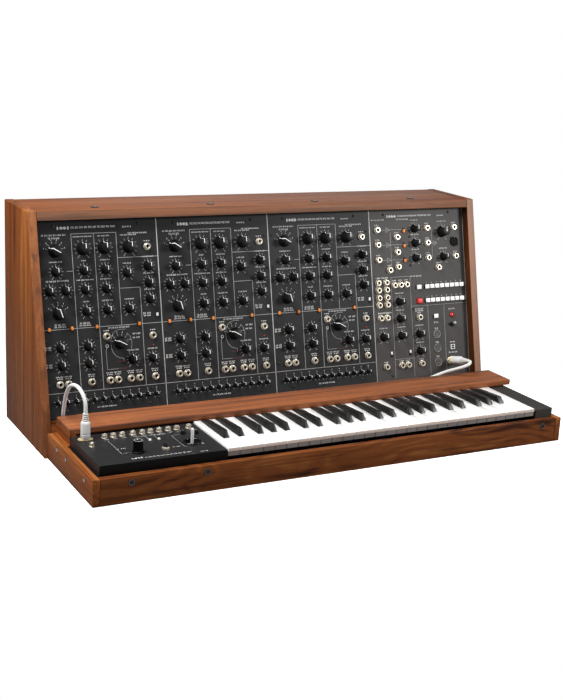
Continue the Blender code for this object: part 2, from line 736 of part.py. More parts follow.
def end_block():
    """The black block between the top key and the right rail, with a lip over the rail."""
    left = KEYS_RIGHT + END_BLOCK_TO_KEYS
    right = CASE_RIGHT - CASE_SIDE
    outline = (
        (left, CASE_BASE + GAP),
        (right - GAP, CASE_BASE + GAP),
        (right - GAP, CASE_HEIGHT + GAP),
        (right + END_BLOCK_OVERHANG, CASE_HEIGHT + GAP),
        (right + END_BLOCK_OVERHANG, CONTROL_TOP),
        (left, CONTROL_TOP),
    )
    front = FRONT + CONTROL_FRONT
    depth = BACK_RAIL_FRONT - GAP - front
    middle = Matrix.Translation((0, front + depth / 2, 0))
    upright = Matrix.Rotation(math.pi / 2, 4, "X")
    block = place("end_block", outline_mesh("end_block", outline, depth), PANEL_BLACK, middle @ upright)
    bevel(block, END_BLOCK_ROUND)


def key_bed():
    """A steel tray under the keys, with a guide bar in front and the pivot bar behind."""
    floor = CASE_BASE + GAP
    top = floor + BED_THICKNESS
    pivot_y = FRONT + PIVOT_Y
    outline = (
        (FRONT + BED_FRONT, floor),
        (pivot_y + PIVOT_BAR / 2, floor),
        (pivot_y + PIVOT_BAR / 2, LEVER_BOTTOM - GAP),
        (pivot_y - PIVOT_BAR / 2, LEVER_BOTTOM - GAP),
        (pivot_y - PIVOT_BAR / 2, top),
        (FRONT + BED_FRONT + GUIDE_WIDTH, top),
        (FRONT + BED_FRONT + GUIDE_WIDTH, GUIDE_TOP),
        (FRONT + BED_FRONT, GUIDE_TOP),
    )
    board_along_x("key_bed", outline, KEYS_LEFT + GAP, KEYS_RIGHT - GAP, STEEL)


def white_profile(rear):
    """A white key seen from the side: the cap with its front lip, and the lever below it."""
    cap_rear = FRONT + LEDGE_FRONT + CAP_UNDER_LEDGE
    front = FRONT + WHITE_FRONT
    return (
        (front, CAP_BOTTOM),
        (front + LEVER_SETBACK, CAP_BOTTOM),
        (front + LEVER_SETBACK, LEVER_BOTTOM),
        (rear, LEVER_BOTTOM),
        (rear, CAP_BOTTOM),
        (cap_rear, CAP_BOTTOM),
        (cap_rear, WHITE_TOP),
        (front, WHITE_TOP),
    )


def sharp_profile(rear):
    """A black key seen from the side: the sloped block, and the lever behind it."""
    front = FRONT + SHARP_FRONT
    block_rear = FRONT + LEDGE_FRONT - SHARP_TO_LEDGE
    return (
        (front, SHARP_FOOT),
        (front + LEVER_SETBACK, SHARP_FOOT),
        (front + LEVER_SETBACK, LEVER_BOTTOM),
        (rear, LEVER_BOTTOM),
        (rear, CAP_BOTTOM),
        (block_rear, CAP_BOTTOM),
        (block_rear, SHARP_TOP),
        (front + SHARP_SLOPE, SHARP_TOP),
    )


def slit_mesh(edge, shift, rear):
    """What lies between two white keys: a slit, widened round the black key where there is one."""
    half = KEY_SLIT / 2
    front = FRONT + WHITE_FRONT - KEY_SLIT
    if shift is None:
        outline = ((edge - half, front), (edge + half, front), (edge + half, rear), (edge - half, rear))
    else:
        notch = FRONT + NOTCH_FRONT
        middle = edge + shift
        wide = SHARP_WIDTH / 2 + SHARP_CLEARANCE
        outline = (
            (edge - half, front),
            (edge + half, front),
            (edge + half, notch),
            (middle + wide, notch),
            (middle + wide, rear),
            (middle - wide, rear),
            (middle - wide, notch),
            (edge - half, notch),
        )
    height = WHITE_TOP - LEVER_BOTTOM
    mesh = outline_mesh("slit", outline, 2 * height)
    return moved(mesh, (0, 0, LEVER_BOTTOM + height / 2))


def key_edge(index):
    """The x of the line left of a white key, counted from the lowest."""
    return KEYS_LEFT + index * WHITE_PITCH


def edge_shift(index):
    """The black key on the line left of a white key, or None."""
    return SHARPS.get((index - 1) % WHITES_PER_OCTAVE) if index else None


def moving_octave():
    """Seven white and five black keys, each its own piece with its origin on the pivot line."""
    pivot = (0, FRONT + PIVOT_Y, LEVER_BOTTOM)
    for step, name in enumerate(WHITE_NAMES):
        index = LOW_WHITES + step
        left, right = key_edge(index), key_edge(index + 1)
        key = board_along_x(name, white_profile(LEVER_REAR), left, right, KEY_WHITE)
        put_origin(key, pivot)
        beyond = LEVER_REAR + WHITE_PITCH
        slits = [slit_mesh(edge, edge_shift(index + i), beyond) for i, edge in enumerate((left, right))]
        boolean(key, joined_mesh(name, slits), "DIFFERENCE")
    for step, name in SHARP_NAMES.items():
        middle = key_edge(LOW_WHITES + step + 1) + SHARPS[step]
        left = middle - SHARP_WIDTH / 2
        key = board_along_x(name, sharp_profile(LEVER_REAR), left, left + SHARP_WIDTH, KEY_BLACK)
        put_origin(key, pivot)


def fixed_keys(name, first, count):
    """A run of keys modelled as one piece, held together by a bar over the pivot."""
    bar = LEVER_REAR - 2 * LEVER_TAIL
    keys = board_along_x(name, white_profile(LEVER_REAR), key_edge(first), key_edge(first + count), KEY_WHITE)
    inner = range(first + 1, first + count)
    slits = [slit_mesh(key_edge(index), edge_shift(index), bar) for index in inner]
    slits += [slit_mesh(key_edge(index), None, LEVER_REAR + KEY_SLIT) for index in (first, first + count)]
    boolean(keys, joined_mesh(name, slits), "DIFFERENCE")
    sharps = []
    for index in inner:
        shift = edge_shift(index)
        if shift is None:
            continue
        mesh = outline_mesh("sharp", sharp_profile(LEVER_REAR - GAP), SHARP_WIDTH)
        mesh.transform(Matrix.Translation((key_edge(index) + shift, 0, 0)) @ ALONG_X)
        sharps.append(mesh)
    boolean(keys, joined_mesh(name, sharps), "UNION")


def socket(name, frame):
    """A round chassis socket with an oblong flange, its barrel behind the panel."""
    width, height, thickness = SOCKET_FLANGE
    flange = box_mesh(name, (-width / 2, -height / 2, GAP), (width / 2, height / 2, thickness))
    made = place(name, flange, NICKEL, frame)
    barrel = cylinder_mesh("barrel", SOCKET_BARREL, -SOCKET_DEPTH, thickness / 2, KNOB_SIDES)
    boolean(made, barrel, "UNION", frame)
    bore = cylinder_mesh("bore", SOCKET_BORE, thickness - SOCKET_BORE_DEPTH, 2 * thickness, KNOB_SIDES)
    boolean(made, bore, "DIFFERENCE", frame)


def plug(name, frame):
    """A moulded plug standing in its socket, with a ribbed boot that narrows to the cable."""
    seat = SOCKET_FLANGE[2] + GAP
    shoulder = seat + PLUG_BODY_LENGTH
    end = shoulder + BOOT_LENGTH
    profile = (
        (0, end),
        (BOOT_END, end),
        (BOOT_START, shoulder + PLUG_CHAMFER),
        (PLUG_BODY - PLUG_SHOULDER / 2, shoulder),
        (PLUG_BODY, shoulder - PLUG_SHOULDER),
        (PLUG_BODY, seat + PLUG_CHAMFER),
        (PLUG_BODY - PLUG_CHAMFER, seat),
        (PLUG_NOSE, seat),
        (PLUG_NOSE, seat - PLUG_NOSE_LENGTH),
        (0, seat - PLUG_NOSE_LENGTH),
    )
    turned(name, profile, CABLE_WHITE, frame)
    return frame @ Vector((0, 0, end + GAP)), (frame.to_3x3() @ Vector((0, 0, 1)))


def smooth_route(points, step):
    """Points at even steps along a smooth curve through the route's points."""
    ends = [2 * points[0] - points[1], *points, 2 * points[-1] - points[-2]]
    fine = []
    for a, b, c, d in zip(ends, ends[1:], ends[2:], ends[3:]):
        for i in range(20):
            t = i / 20
            bend = 2 * a - 5 * b + 4 * c - d
            twist = 3 * b - a - 3 * c + d
            fine.append(0.5 * (2 * b + (c - a) * t + bend * t**2 + twist * t**3))
    fine.append(points[-1])
    lengths = [0.0]
    for first, second in zip(fine, fine[1:]):
        lengths.append(lengths[-1] + (second - first).length)
    count = max(2, round(lengths[-1] / step))
    even = []
    place_in = 0
    for i in range(count + 1):
        wanted = lengths[-1] * i / count
        while place_in < len(fine) - 2 and lengths[place_in + 1] < wanted:
            place_in += 1
        span = lengths[place_in + 1] - lengths[place_in]
        share = (wanted - lengths[place_in]) / span if span else 0.0
        even.append(fine[place_in].lerp(fine[place_in + 1], min(1.0, share)))
    return even


def link_cable():
    """The white cable from the keyboard unit's socket to the fourth module's, with a plug on each end."""
    start_frame = keyboard_frame(KEYBOARD_SOCKET_PLACE)
    end_frame = panel_frame(MODULE_COUNT - 1, *CABINET_SOCKET)
    socket("keyboard_link_socket", start_frame)
    socket("cabinet_link_socket", end_frame)
    start, up = plug("keyboard_link_plug", start_frame)
    end, out = plug("cabinet_link_plug", end_frame)
    route = [Vector((x, FRONT + y, z)) for x, y, z in CABLE_ROUTE]
    between = smooth_route([start + up * CABLE_LEAD, *route, end + out * CABLE_LEAD], CABLE_STEP)
    points = [start, *between, end]
    curve = bpy.data.curves.new("link_cable", "CURVE")
    curve.dimensions = "3D"
    curve.bevel_depth = CABLE_DIAMETER / 2
    curve.bevel_resolution = 2
    curve.use_fill_caps = True
    spline = curve.splines.new("POLY")
    spline.points.add(len(points) - 1)
    for point, at in zip(spline.points, points):
        point.co = (*at, 1)
    length = sum((b - a).length for a, b in zip(points, points[1:]))
    print(f"link cable: {len(points)} points, {length:.3f} m")
    curve.materials.append(CABLE_WHITE)
    PARTS.objects.link(bpy.data.objects.new("link_cable", curve))


cabinet_case()
mains_inlet()
cabinet_inside()
module_panels()
module_controls()
keyboard_case()
control_panel()
keyboard_controls()
end_block()
key_bed()
moving_octave()
fixed_keys("lower_keys", 0, LOW_WHITES)
fixed_keys("upper_keys", LOW_WHITES + WHITES_PER_OCTAVE, HIGH_WHITES)
link_cable()
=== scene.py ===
"""The looks of an analog synthesizer: a slanted walnut cabinet, a keyboard unit, and a white cable."""

import json
import math

import bmesh
import bpy
from mathutils import Matrix, Quaternion, Vector


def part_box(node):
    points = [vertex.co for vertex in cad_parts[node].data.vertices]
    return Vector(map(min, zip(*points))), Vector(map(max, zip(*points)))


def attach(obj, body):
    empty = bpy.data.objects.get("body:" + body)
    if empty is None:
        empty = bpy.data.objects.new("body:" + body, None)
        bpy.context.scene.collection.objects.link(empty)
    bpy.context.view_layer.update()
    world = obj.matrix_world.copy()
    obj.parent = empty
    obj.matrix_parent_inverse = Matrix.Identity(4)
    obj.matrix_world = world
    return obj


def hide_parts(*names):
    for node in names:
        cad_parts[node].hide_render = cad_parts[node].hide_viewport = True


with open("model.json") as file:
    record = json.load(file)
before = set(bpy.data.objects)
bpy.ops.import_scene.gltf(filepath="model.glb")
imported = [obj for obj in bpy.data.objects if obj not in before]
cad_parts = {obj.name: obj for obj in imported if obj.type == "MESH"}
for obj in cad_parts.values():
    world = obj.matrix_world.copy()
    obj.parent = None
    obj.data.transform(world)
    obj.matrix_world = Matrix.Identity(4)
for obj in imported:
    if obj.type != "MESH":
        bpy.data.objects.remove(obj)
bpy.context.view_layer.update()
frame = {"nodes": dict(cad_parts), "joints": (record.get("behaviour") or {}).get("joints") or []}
nodes = frame["nodes"]
joints = {joint["name"]: joint for joint in frame["joints"]}
FIXED = "synthesizer"

# Sizes below are in millimetres, and WORLD turns them into the frame's metres
WORLD = Matrix.Scale(0.001, 4)


# The camera
# The photograph is taken from the left and a little above, with a long lens.

FOCAL_LENGTH = 63.1032
VIEW_YAW = 28.476
VIEW_DOWN = 15.408
VIEW_ROLL = 3.034
VIEW_FROM = (-1133.54, -2060.53, 812.61)


def place_camera():
    lens = bpy.data.cameras.new("camera")
    lens.lens = FOCAL_LENGTH
    lens.sensor_width = 36
    camera = bpy.data.objects.new("camera", lens)
    bpy.context.scene.collection.objects.link(camera)
    yaw, down = math.radians(VIEW_YAW), math.radians(VIEW_DOWN)
    forward = Vector((math.sin(yaw) * math.cos(down), math.cos(yaw) * math.cos(down), -math.sin(down)))
    level = forward.to_track_quat("-Z", "Y")
    camera.rotation_mode = "QUATERNION"
    camera.rotation_quaternion = level @ Quaternion((0, 0, 1), math.radians(VIEW_ROLL))
    camera.location = WORLD @ Vector(VIEW_FROM)
    bpy.context.scene.camera = camera


place_camera()


# The link cable, its plugs and its sockets
# A soft white cable, 7 mm thick, runs up out of the keyboard unit, over and down behind the ledge, along the
# trough between the two units and up into the fourth module. Each plug is a moulding with a ribbed boot, and
# each socket is a brass-coloured plate held by two screws.


class Shade:
    """A socket in a finish's nodes. Arithmetic on it adds Math nodes, so a pattern reads as an expression."""

    def __init__(self, finish, socket):
        self.finish = finish
        self.socket = socket

    def __add__(self, other):
        return self.finish.math("ADD", self, other)

    def __radd__(self, other):
        return self.finish.math("ADD", other, self)

    def __sub__(self, other):
        return self.finish.math("SUBTRACT", self, other)

    def __rsub__(self, other):
        return self.finish.math("SUBTRACT", other, self)

    def __mul__(self, other):
        return self.finish.math("MULTIPLY", self, other)

    def __rmul__(self, other):
        return self.finish.math("MULTIPLY", other, self)

    def step(self, low, high):
        """0 below low, 1 above high, and smooth between them."""
        settings = {"interpolation_type": "SMOOTHSTEP"}
        return self.finish.node("ShaderNodeMapRange", settings, {0: self, 1: low, 2: high})


class Finish:
    """A material whose Principled shader is fed by a tree of nodes."""

    def __init__(self, name, colour, roughness, metallic=0.0, **constants):
        self.material = bpy.data.materials.new(name)
        self.material.use_nodes = True
        self.material.diffuse_color = (*colour, 1)
        self.colour = colour
        self.tree = self.material.node_tree
        self.shader = self.tree.nodes["Principled BSDF"]
        self.shader.inputs["Base Color"].default_value = (*colour, 1)
        self.shader.inputs["Roughness"].default_value = roughness
        self.shader.inputs["Metallic"].default_value = metallic
        for socket, value in constants.items():
            self.shader.inputs[socket.replace("_", " ")].default_value = value
        self.place = self.node("ShaderNodeTexCoord", output="Object")

    def node(self, kind, settings=None, inputs=None, output=0):
        """Adds a node: its settings first, then the values or links of its sockets."""
        made = self.tree.nodes.new(kind)
        for name, value in (settings or {}).items():
            if name == "stops":
                ramp = made.color_ramp
                for _ in range(len(value) - 2):
                    ramp.elements.new(0.5)
                for element, (position, colour) in zip(ramp.elements, value):
                    element.position = position
                    element.color = (*colour, 1)
            else:
                setattr(made, name, value)
        for socket, value in (inputs or {}).items():
            if isinstance(value, Shade):
                self.tree.links.new(value.socket, made.inputs[socket])
            else:
                made.inputs[socket].default_value = value
        return Shade(self, made.outputs[output])

    def math(self, operation, *values):
        return self.node("ShaderNodeMath", {"operation": operation}, dict(enumerate(values)))

    def mix(self, share, first, second):
        """A colour between two colours."""
        first, second = ((*c, 1) if isinstance(c, tuple) else c for c in (first, second))
        return self.node("ShaderNodeMix", {"data_type": "RGBA"}, {0: share, 6: first, 7: second}, output=2)

    def noise(self, scale, detail=2.0, roughness=0.5, twist=0.0, stretch=(1.0, 1.0, 1.0), at=(0, 0, 0)):
        """Noise with so many features to the metre, stretched along each axis and moved to a place."""
        spot = self.node("ShaderNodeMapping", None, {"Vector": self.place, "Location": at, "Scale": stretch})
        look = {"Vector": spot, "Scale": scale, "Detail": detail, "Roughness": roughness}
        return self.node("ShaderNodeTexNoise", None, {**look, "Distortion": twist})

    def feed(self, socket, value):
        self.tree.links.new(value.socket, self.shader.inputs[socket])

    def bump(self, height, distance, strength=1.0):
        """Relief from a height that is distance metres at 1."""
        inputs = {"Height": height, "Distance": distance, "Strength": strength}
        self.feed("Normal", self.node("ShaderNodeBump", None, inputs))

    def facing(self, axis):
        """From -1 to 1: how far a face looks along X, Y or Z (0, 1 or 2)."""
        normal = self.node("ShaderNodeTexCoord", output="Normal")
        return self.node("ShaderNodeSeparateXYZ", None, {0: normal}, output=axis)

    def handled(self, tint, low, high, texture=2500.0, depth=0.00003):
        """Uneven gloss from handling, a faint tint that comes and goes, and a fine surface texture."""
        smudge = self.noise(14.0, 4.0, 0.6)
        self.feed("Base Color", self.mix(smudge.step(0.35, 0.75), self.colour, tint))
        self.feed("Roughness", smudge * (high - low) + low)
        self.bump(self.noise(texture, 2.0), depth, 0.6)
        return self


class Piece:
    """A mesh put together from simple shapes, each in one of the piece's finishes."""

    def __init__(self, name, *finishes):
        self.name = name
        self.finishes = finishes
        self.work = bmesh.new()

    def add(self, shape, at=WORLD, finish=0):
        bmesh.ops.recalc_face_normals(shape, faces=shape.faces)
        shape.transform(at)
        for face in shape.faces:
            face.material_index = finish
        mesh = bpy.data.meshes.new("shape")
        shape.to_mesh(mesh)
        shape.free()
        self.work.from_mesh(mesh)
        bpy.data.meshes.remove(mesh)
        return self

    def done(self, body, slot, *replaced, sharp=32):
        """The finished object, riding on a body and standing for CAD nodes."""
        mesh = bpy.data.meshes.new(self.name)
        self.work.to_mesh(mesh)
        self.work.free()
        mesh.shade_smooth()
        mesh.set_sharp_from_angle(angle=math.radians(sharp))
        for finish in self.finishes:
            mesh.materials.append(finish.material)
        made = bpy.data.objects.new(self.name, mesh)
        bpy.context.scene.collection.objects.link(made)
        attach(made, body)
        if replaced:
            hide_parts(*replaced)
        return made


def turned(profile, sides, flutes=0, flute_depth=0.0, fluted=()):
    """A turned shape from (radius, height) points down its outer side. Points in fluted are scalloped."""
    shape = bmesh.new()
    rings = []
    for i, (radius, height) in enumerate(profile):
        if radius == 0:
            rings.append([shape.verts.new((0, 0, height))])
            continue
        ring = []
        for side in range(sides):
            angle = math.tau * side / sides
            cut = flute_depth * (0.5 - 0.5 * math.cos(flutes * angle)) if i in fluted else 0.0
            reach = radius - cut
            ring.append(shape.verts.new((reach * math.cos(angle), reach * math.sin(angle), height)))
        rings.append(ring)
    for upper, lower in zip(rings, rings[1:]):
        for side in range(sides):
            after = (side + 1) % sides
            spots = [upper[side % len(upper)], lower[side % len(lower)]]
            spots += [lower[after % len(lower)], upper[after % len(upper)]]
            shape.faces.new(list(dict.fromkeys(spots)))
    for ring, turn in ((rings[0], 1), (rings[-1], -1)):
        if len(ring) > 1:
            shape.faces.new(ring[::turn])
    return shape


def circle(radius, sides=28, first=0.0):
    """A flat outline with so many corners."""
    angles = [first + math.tau * side / sides for side in range(sides)]
    return [(radius * math.cos(angle), radius * math.sin(angle)) for angle in angles]


def square(width, height):
    """A flat outline of a rectangle round its middle."""
    x, y = width / 2, height / 2
    return [(-x, -y), (x, -y), (x, y), (-x, y)]


def oblong(length, width, points=9):
    """A flat outline with half-round ends."""
    radius, half = width / 2, (length - width) / 2
    turns = [math.pi * (i / (points - 1) - 0.5) for i in range(points)]
    right = [(half + radius * math.cos(turn), radius * math.sin(turn)) for turn in turns]
    return right + [(-x, -y) for x, y in right]


def round_edges(shape, rounding, steps):
    """Rounds the edges where faces meet at more than about 35 degrees."""
    shape.normal_update()
    crisp = [edge for edge in shape.edges if edge.calc_face_angle(0) > 0.6]
    bmesh.ops.bevel(shape, geom=crisp, offset=rounding, segments=steps, profile=0.5, affect="EDGES")


def prism(outline, low, high, rounding=0.0, steps=2):
    """A flat outline in XY, made thick along Z."""
    shape = bmesh.new()
    rings = [[shape.verts.new((x, y, z)) for x, y in outline] for z in (low, high)]
    shape.faces.new(rings[0][::-1])
    shape.faces.new(rings[1])
    for i in range(len(outline)):
        after = (i + 1) % len(outline)
        shape.faces.new((rings[0][i], rings[0][after], rings[1][after], rings[1][i]))
    if rounding:
        round_edges(shape, rounding, steps)
    return shape


def collar(outer, inner, low, high, rounding=0.3, steps=2):
    """A ring between two flat outlines with as many corners, made thick along Z."""
    shape = bmesh.new()
    loops = ((outer, low), (outer, high), (inner, high), (inner, low))
    rings = [[shape.verts.new((x, y, z)) for x, y in outline] for outline, z in loops]
    for ring, beside in zip(rings, (*rings[1:], rings[0])):
        for i in range(len(outer)):
            after = (i + 1) % len(outer)
            shape.faces.new((ring[i], ring[after], beside[after], beside[i]))
    if rounding:
        round_edges(shape, rounding, steps)
    return shape


def block(width, height, low, high, rounding=0.4, steps=2):
    """A block centred on its place, from low to high, with rounded edges."""
    return prism(square(width, height), low, high, rounding, steps)


def screw_head(piece, at, radius=2.6, finish=0):
    """A domed head with a cross cut in it, standing on its place."""
    profile = [(0, 0.75), (radius * 0.45, 1.5), (radius * 0.8, 1.15), (radius, 0.35)]
    piece.add(turned([*profile, (radius, -0.1), (0, -0.1)], 16), at, finish)


CABLE_THICK = 7.0
CABLE_LEAD = 8.4
CABLE_STEP = 6.0
# The route between the plugs, as in the solid model: x and z in the frame, y from the keyboard's front face
CABLE_ROUTE = (
    (-455.6, 153.5, 136.0),
    (-458.0, 162.0, 148.5),
    (-460.6, 176.5, 155.2),
    (-462.4, 193.5, 154.5),
    (-463.4, 211.0, 147.5),
    (-463.6, 225.0, 136.2),
    (-463.6, 237.0, 120.0),
    (-463.6, 245.5, 101.0),
    (-463.4, 252.0, 82.0),
    (-460.5, 259.0, 70.0),
    (-452.0, 266.0, 64.8),
    (-437.0, 270.0, 64.0),
    (-360.0, 271.5, 64.0),
    (-220.0, 270.0, 64.0),
    (-50.0, 271.0, 64.0),
    (100.0, 270.0, 64.0),
    (230.0, 271.2, 64.0),
    (320.0, 270.5, 64.0),
    (348.0, 268.0, 66.8),
    (364.0, 262.0, 72.5),
    (377.5, 253.0, 81.0),
    (389.0, 242.0, 89.0),
    (400.0, 230.0, 96.0),
    (410.0, 221.0, 102.0),
    (420.0, 217.0, 107.0),
    (428.0, 221.0, 110.5),
)
PLUG_SEAT = 1.9
PLUG_SHOULDER = 33.9
PLUG_END = 49.9
PLUG_GRIP = 8.7
BOOT_RIBS = 4
BOOT_RIB_CUT = 2.0
SOCKET_LONG = 28.0
SOCKET_WIDE = 15.0
SOCKET_THICK = 1.6
SOCKET_SCREW_AT = 11.6
SOCKET_SCREW = 1.7

panel_out = Vector(joints["output_knob_turn"]["axis"])
LEAN = math.atan2(panel_out.z, -panel_out.y)
OUTPUT_KNOB_DOWN = 67.0
LINK_SOCKET_AT = (194.0, 348.0)


def corners(node):
    """A CAD node's lowest and highest corners, in millimetres."""
    return [corner * 1000 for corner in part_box(node)]


keyboard_front = corners("keyboard_side_left")[0].y
case_left = corners("keyboard_side_left")[0].x
control_top = corners("control_panel")[1].z
panel_lefts = [corners(f"module_{i + 1}_panel")[0].x - 0.3 for i in range(4)]


def on_panel(module, x, down, out=0.0, spin=0.0):
    """A frame on the face of module 0 to 3: X right, Y up the slope, Z out, from its top left."""
    knob = Vector(joints["output_knob_turn"]["pos_m"]) * 1000
    face = Matrix.Rotation(math.pi / 2 - LEAN, 4, "X")
    corner = Matrix.Translation((panel_lefts[module], knob.y, knob.z)) @ face
    spot = Matrix.Translation((x, OUTPUT_KNOB_DOWN - down, out))
    return WORLD @ corner @ spot @ Matrix.Rotation(math.radians(spin), 4, "Z")


def on_cover(x, y, out=0.0, spin=0.0):
    """A frame on the control panel's top: x in the world, y from the keyboard's front face."""
    spot = Matrix.Translation((x, keyboard_front + y, control_top + out))
    return WORLD @ spot @ Matrix.Rotation(math.radians(spin), 4, "Z")


def smooth_route(points, step):
    """Points at even steps along a smooth curve through the route's points."""
    ends = [2 * points[0] - points[1], *points, 2 * points[-1] - points[-2]]
    fine = []
    for a, b, c, d in zip(ends, ends[1:], ends[2:], ends[3:]):
        for i in range(40):
            t = i / 40
            bend = 2 * a - 5 * b + 4 * c - d
            twist = 3 * b - a - 3 * c + d
            fine.append(0.5 * (2 * b + (c - a) * t + bend * t**2 + twist * t**3))
    fine.append(points[-1])
    even = [fine[0]]
    for point in fine:
        if (point - even[-1]).length >= step:
            even.append(point)
    if (fine[-1] - even[-1]).length < step / 2:
        even.pop()
    return [*even, fine[-1]]


soft_white = Finish("soft_white", (0.72, 0.715, 0.70), 0.5, Specular_IOR_Level=0.3)
soft_white.handled((0.63, 0.62, 0.60), 0.42, 0.62, 1800.0, 0.00002)
# Painted shade: a grey core shows in the gaps between the boot's ribs
boot_gap_shade = Finish("boot_gap_shade", (0.30, 0.295, 0.285), 0.6, Specular_IOR_Level=0.3)
boot_gap_shade.handled((0.25, 0.245, 0.235), 0.5, 0.7)
brass = Finish("pale_brass", (0.90, 0.74, 0.38), 0.3, 0.5)
brass.handled((0.80, 0.64, 0.31), 0.24, 0.40, 900.0, 0.00002)
nickel = Finish("nickel", (0.80, 0.74, 0.65), 0.2, 1.0)
nickel.handled((0.70, 0.62, 0.51), 0.14, 0.30, 900.0, 0.00003)


def plug_shape():
    """A plug from its boot's end down to its seat: ribs on the boot, a shoulder, and a grip with a groove."""
    profile = [(0, PLUG_END), (3.8, PLUG_END), (4.2, PLUG_END - 0.4)]
    pitch = (PLUG_END - PLUG_SHOULDER - 1.5) / BOOT_RIBS
    for rib in range(BOOT_RIBS):
        top = PLUG_END - 0.8 - rib * pitch
        wide = 4.9 + rib * 0.33
        profile += [(wide - BOOT_RIB_CUT, top), (wide, top - 0.22 * pitch), (wide, top - 0.58 * pitch)]
        profile.append((wide - BOOT_RIB_CUT, top - 0.74 * pitch))
    profile += [
        (5.8, PLUG_SHOULDER + 0.5),
        (7.2, PLUG_SHOULDER - 0.1),
        (8.2, PLUG_SHOULDER - 1.6),
        (PLUG_GRIP, PLUG_SHOULDER - 4.5),
        (PLUG_GRIP, 12.6),
        (PLUG_GRIP - 0.4, 12.2),
        (PLUG_GRIP - 0.4, 10.4),
        (PLUG_GRIP, 10.0),
        (PLUG_GRIP, 2.9),
        (PLUG_GRIP - 0.6, PLUG_SEAT),
        (0, PLUG_SEAT),
    ]
    return turned(profile, 32)


def link_socket(name, at):
    """The socket's plate, its raised rim round the plug, and its two screws."""
    socket = Piece(f"{name}_plate", brass, nickel)
    socket.add(prism(oblong(SOCKET_LONG, SOCKET_WIDE), 0.1, SOCKET_THICK, 0.4), at)
    socket.add(collar(circle(8.2), circle(6.6), -12.0, 0.5, 0.0), at)
    socket.add(collar(circle(PLUG_GRIP - 0.2), circle(6.4), 0.3, PLUG_SEAT - 0.1, 0.1), at)
    for side in (-1, 1):
        spot = Matrix.Translation((side * SOCKET_SCREW_AT, 0, SOCKET_THICK))
        screw_head(socket, at @ spot, SOCKET_SCREW, 1)
    socket.done(FIXED, "nickel", name)


def link_cable():
    """The cable with its two plugs, and the sockets that they stand in."""
    low, high = corners("keyboard_link_plug")
    start_at = WORLD @ Matrix.Translation(((low.x + high.x) / 2, (low.y + high.y) / 2, high.z - PLUG_END))
    end_at = on_panel(3, *LINK_SOCKET_AT)
    for unit, at in (("keyboard", start_at), ("cabinet", end_at)):
        link_socket(f"{unit}_link_socket", at)
        plug = Piece(f"{unit}_link_plug_moulding", soft_white, boot_gap_shade).add(plug_shape(), at)
        # The grey core is painted shade between the boot's ribs
        core = [(0, PLUG_END - 0.6), (3.3, PLUG_END - 0.6), (4.4, PLUG_SHOULDER), (0, PLUG_SHOULDER)]
        plug.add(turned(core, 24), at, 1)
        plug.done(FIXED, "cable_white", f"{unit}_link_plug")
    ends = [at @ Vector((0, 0, PLUG_END + 0.3)) * 1000 for at in (start_at, end_at)]
    leads = [at @ Vector((0, 0, PLUG_END + 0.3 + CABLE_LEAD)) * 1000 for at in (start_at, end_at)]
    route = [Vector((x, keyboard_front + y, z)) for x, y, z in CABLE_ROUTE]
    points = [ends[0], *smooth_route([leads[0], *route, leads[1]], CABLE_STEP), ends[1]]
    curve = bpy.data.curves.new("link_cable_sheath", "CURVE")
    curve.dimensions = "3D"
    curve.twist_mode = "MINIMUM"
    curve.bevel_depth = CABLE_THICK / 2000
    curve.bevel_resolution = 6
    curve.use_fill_caps = True
    spline = curve.splines.new("POLY")
    spline.points.add(len(points) - 1)
    for point, at in zip(spline.points, points):
        point.co = (*(at / 1000), 1)
    spline.use_smooth = True
    curve.materials.append(soft_white.material)
    cable = bpy.data.objects.new("link_cable_sheath", curve)
    bpy.context.scene.collection.objects.link(cable)
    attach(cable, FIXED)
    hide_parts("link_cable")
    points[0] / 1000


link_cable()


# The walnut boards
# Oiled walnut, brown with a red cast, planed flat with every edge eased. The grain runs along each board: up
# the cabinet's sides, across its top and rails, and from front to back on the keyboard unit's sides.

WALNUT_DARK = (0.060, 0.015, 0.004)
WALNUT_MIDDLE = (0.270, 0.076, 0.017)
WALNUT_LIGHT = (0.450, 0.155, 0.040)
# Painted light on walnut: a pale colour for a painted highlight on front faces, and a near black for painted
# shade on faces to the left
WALNUT_FRONT_HIGHLIGHT = (0.60, 0.40, 0.30)
WALNUT_INSIDE_SHADE = (0.012, 0.004, 0.001)
EASED_EDGE = 1.2


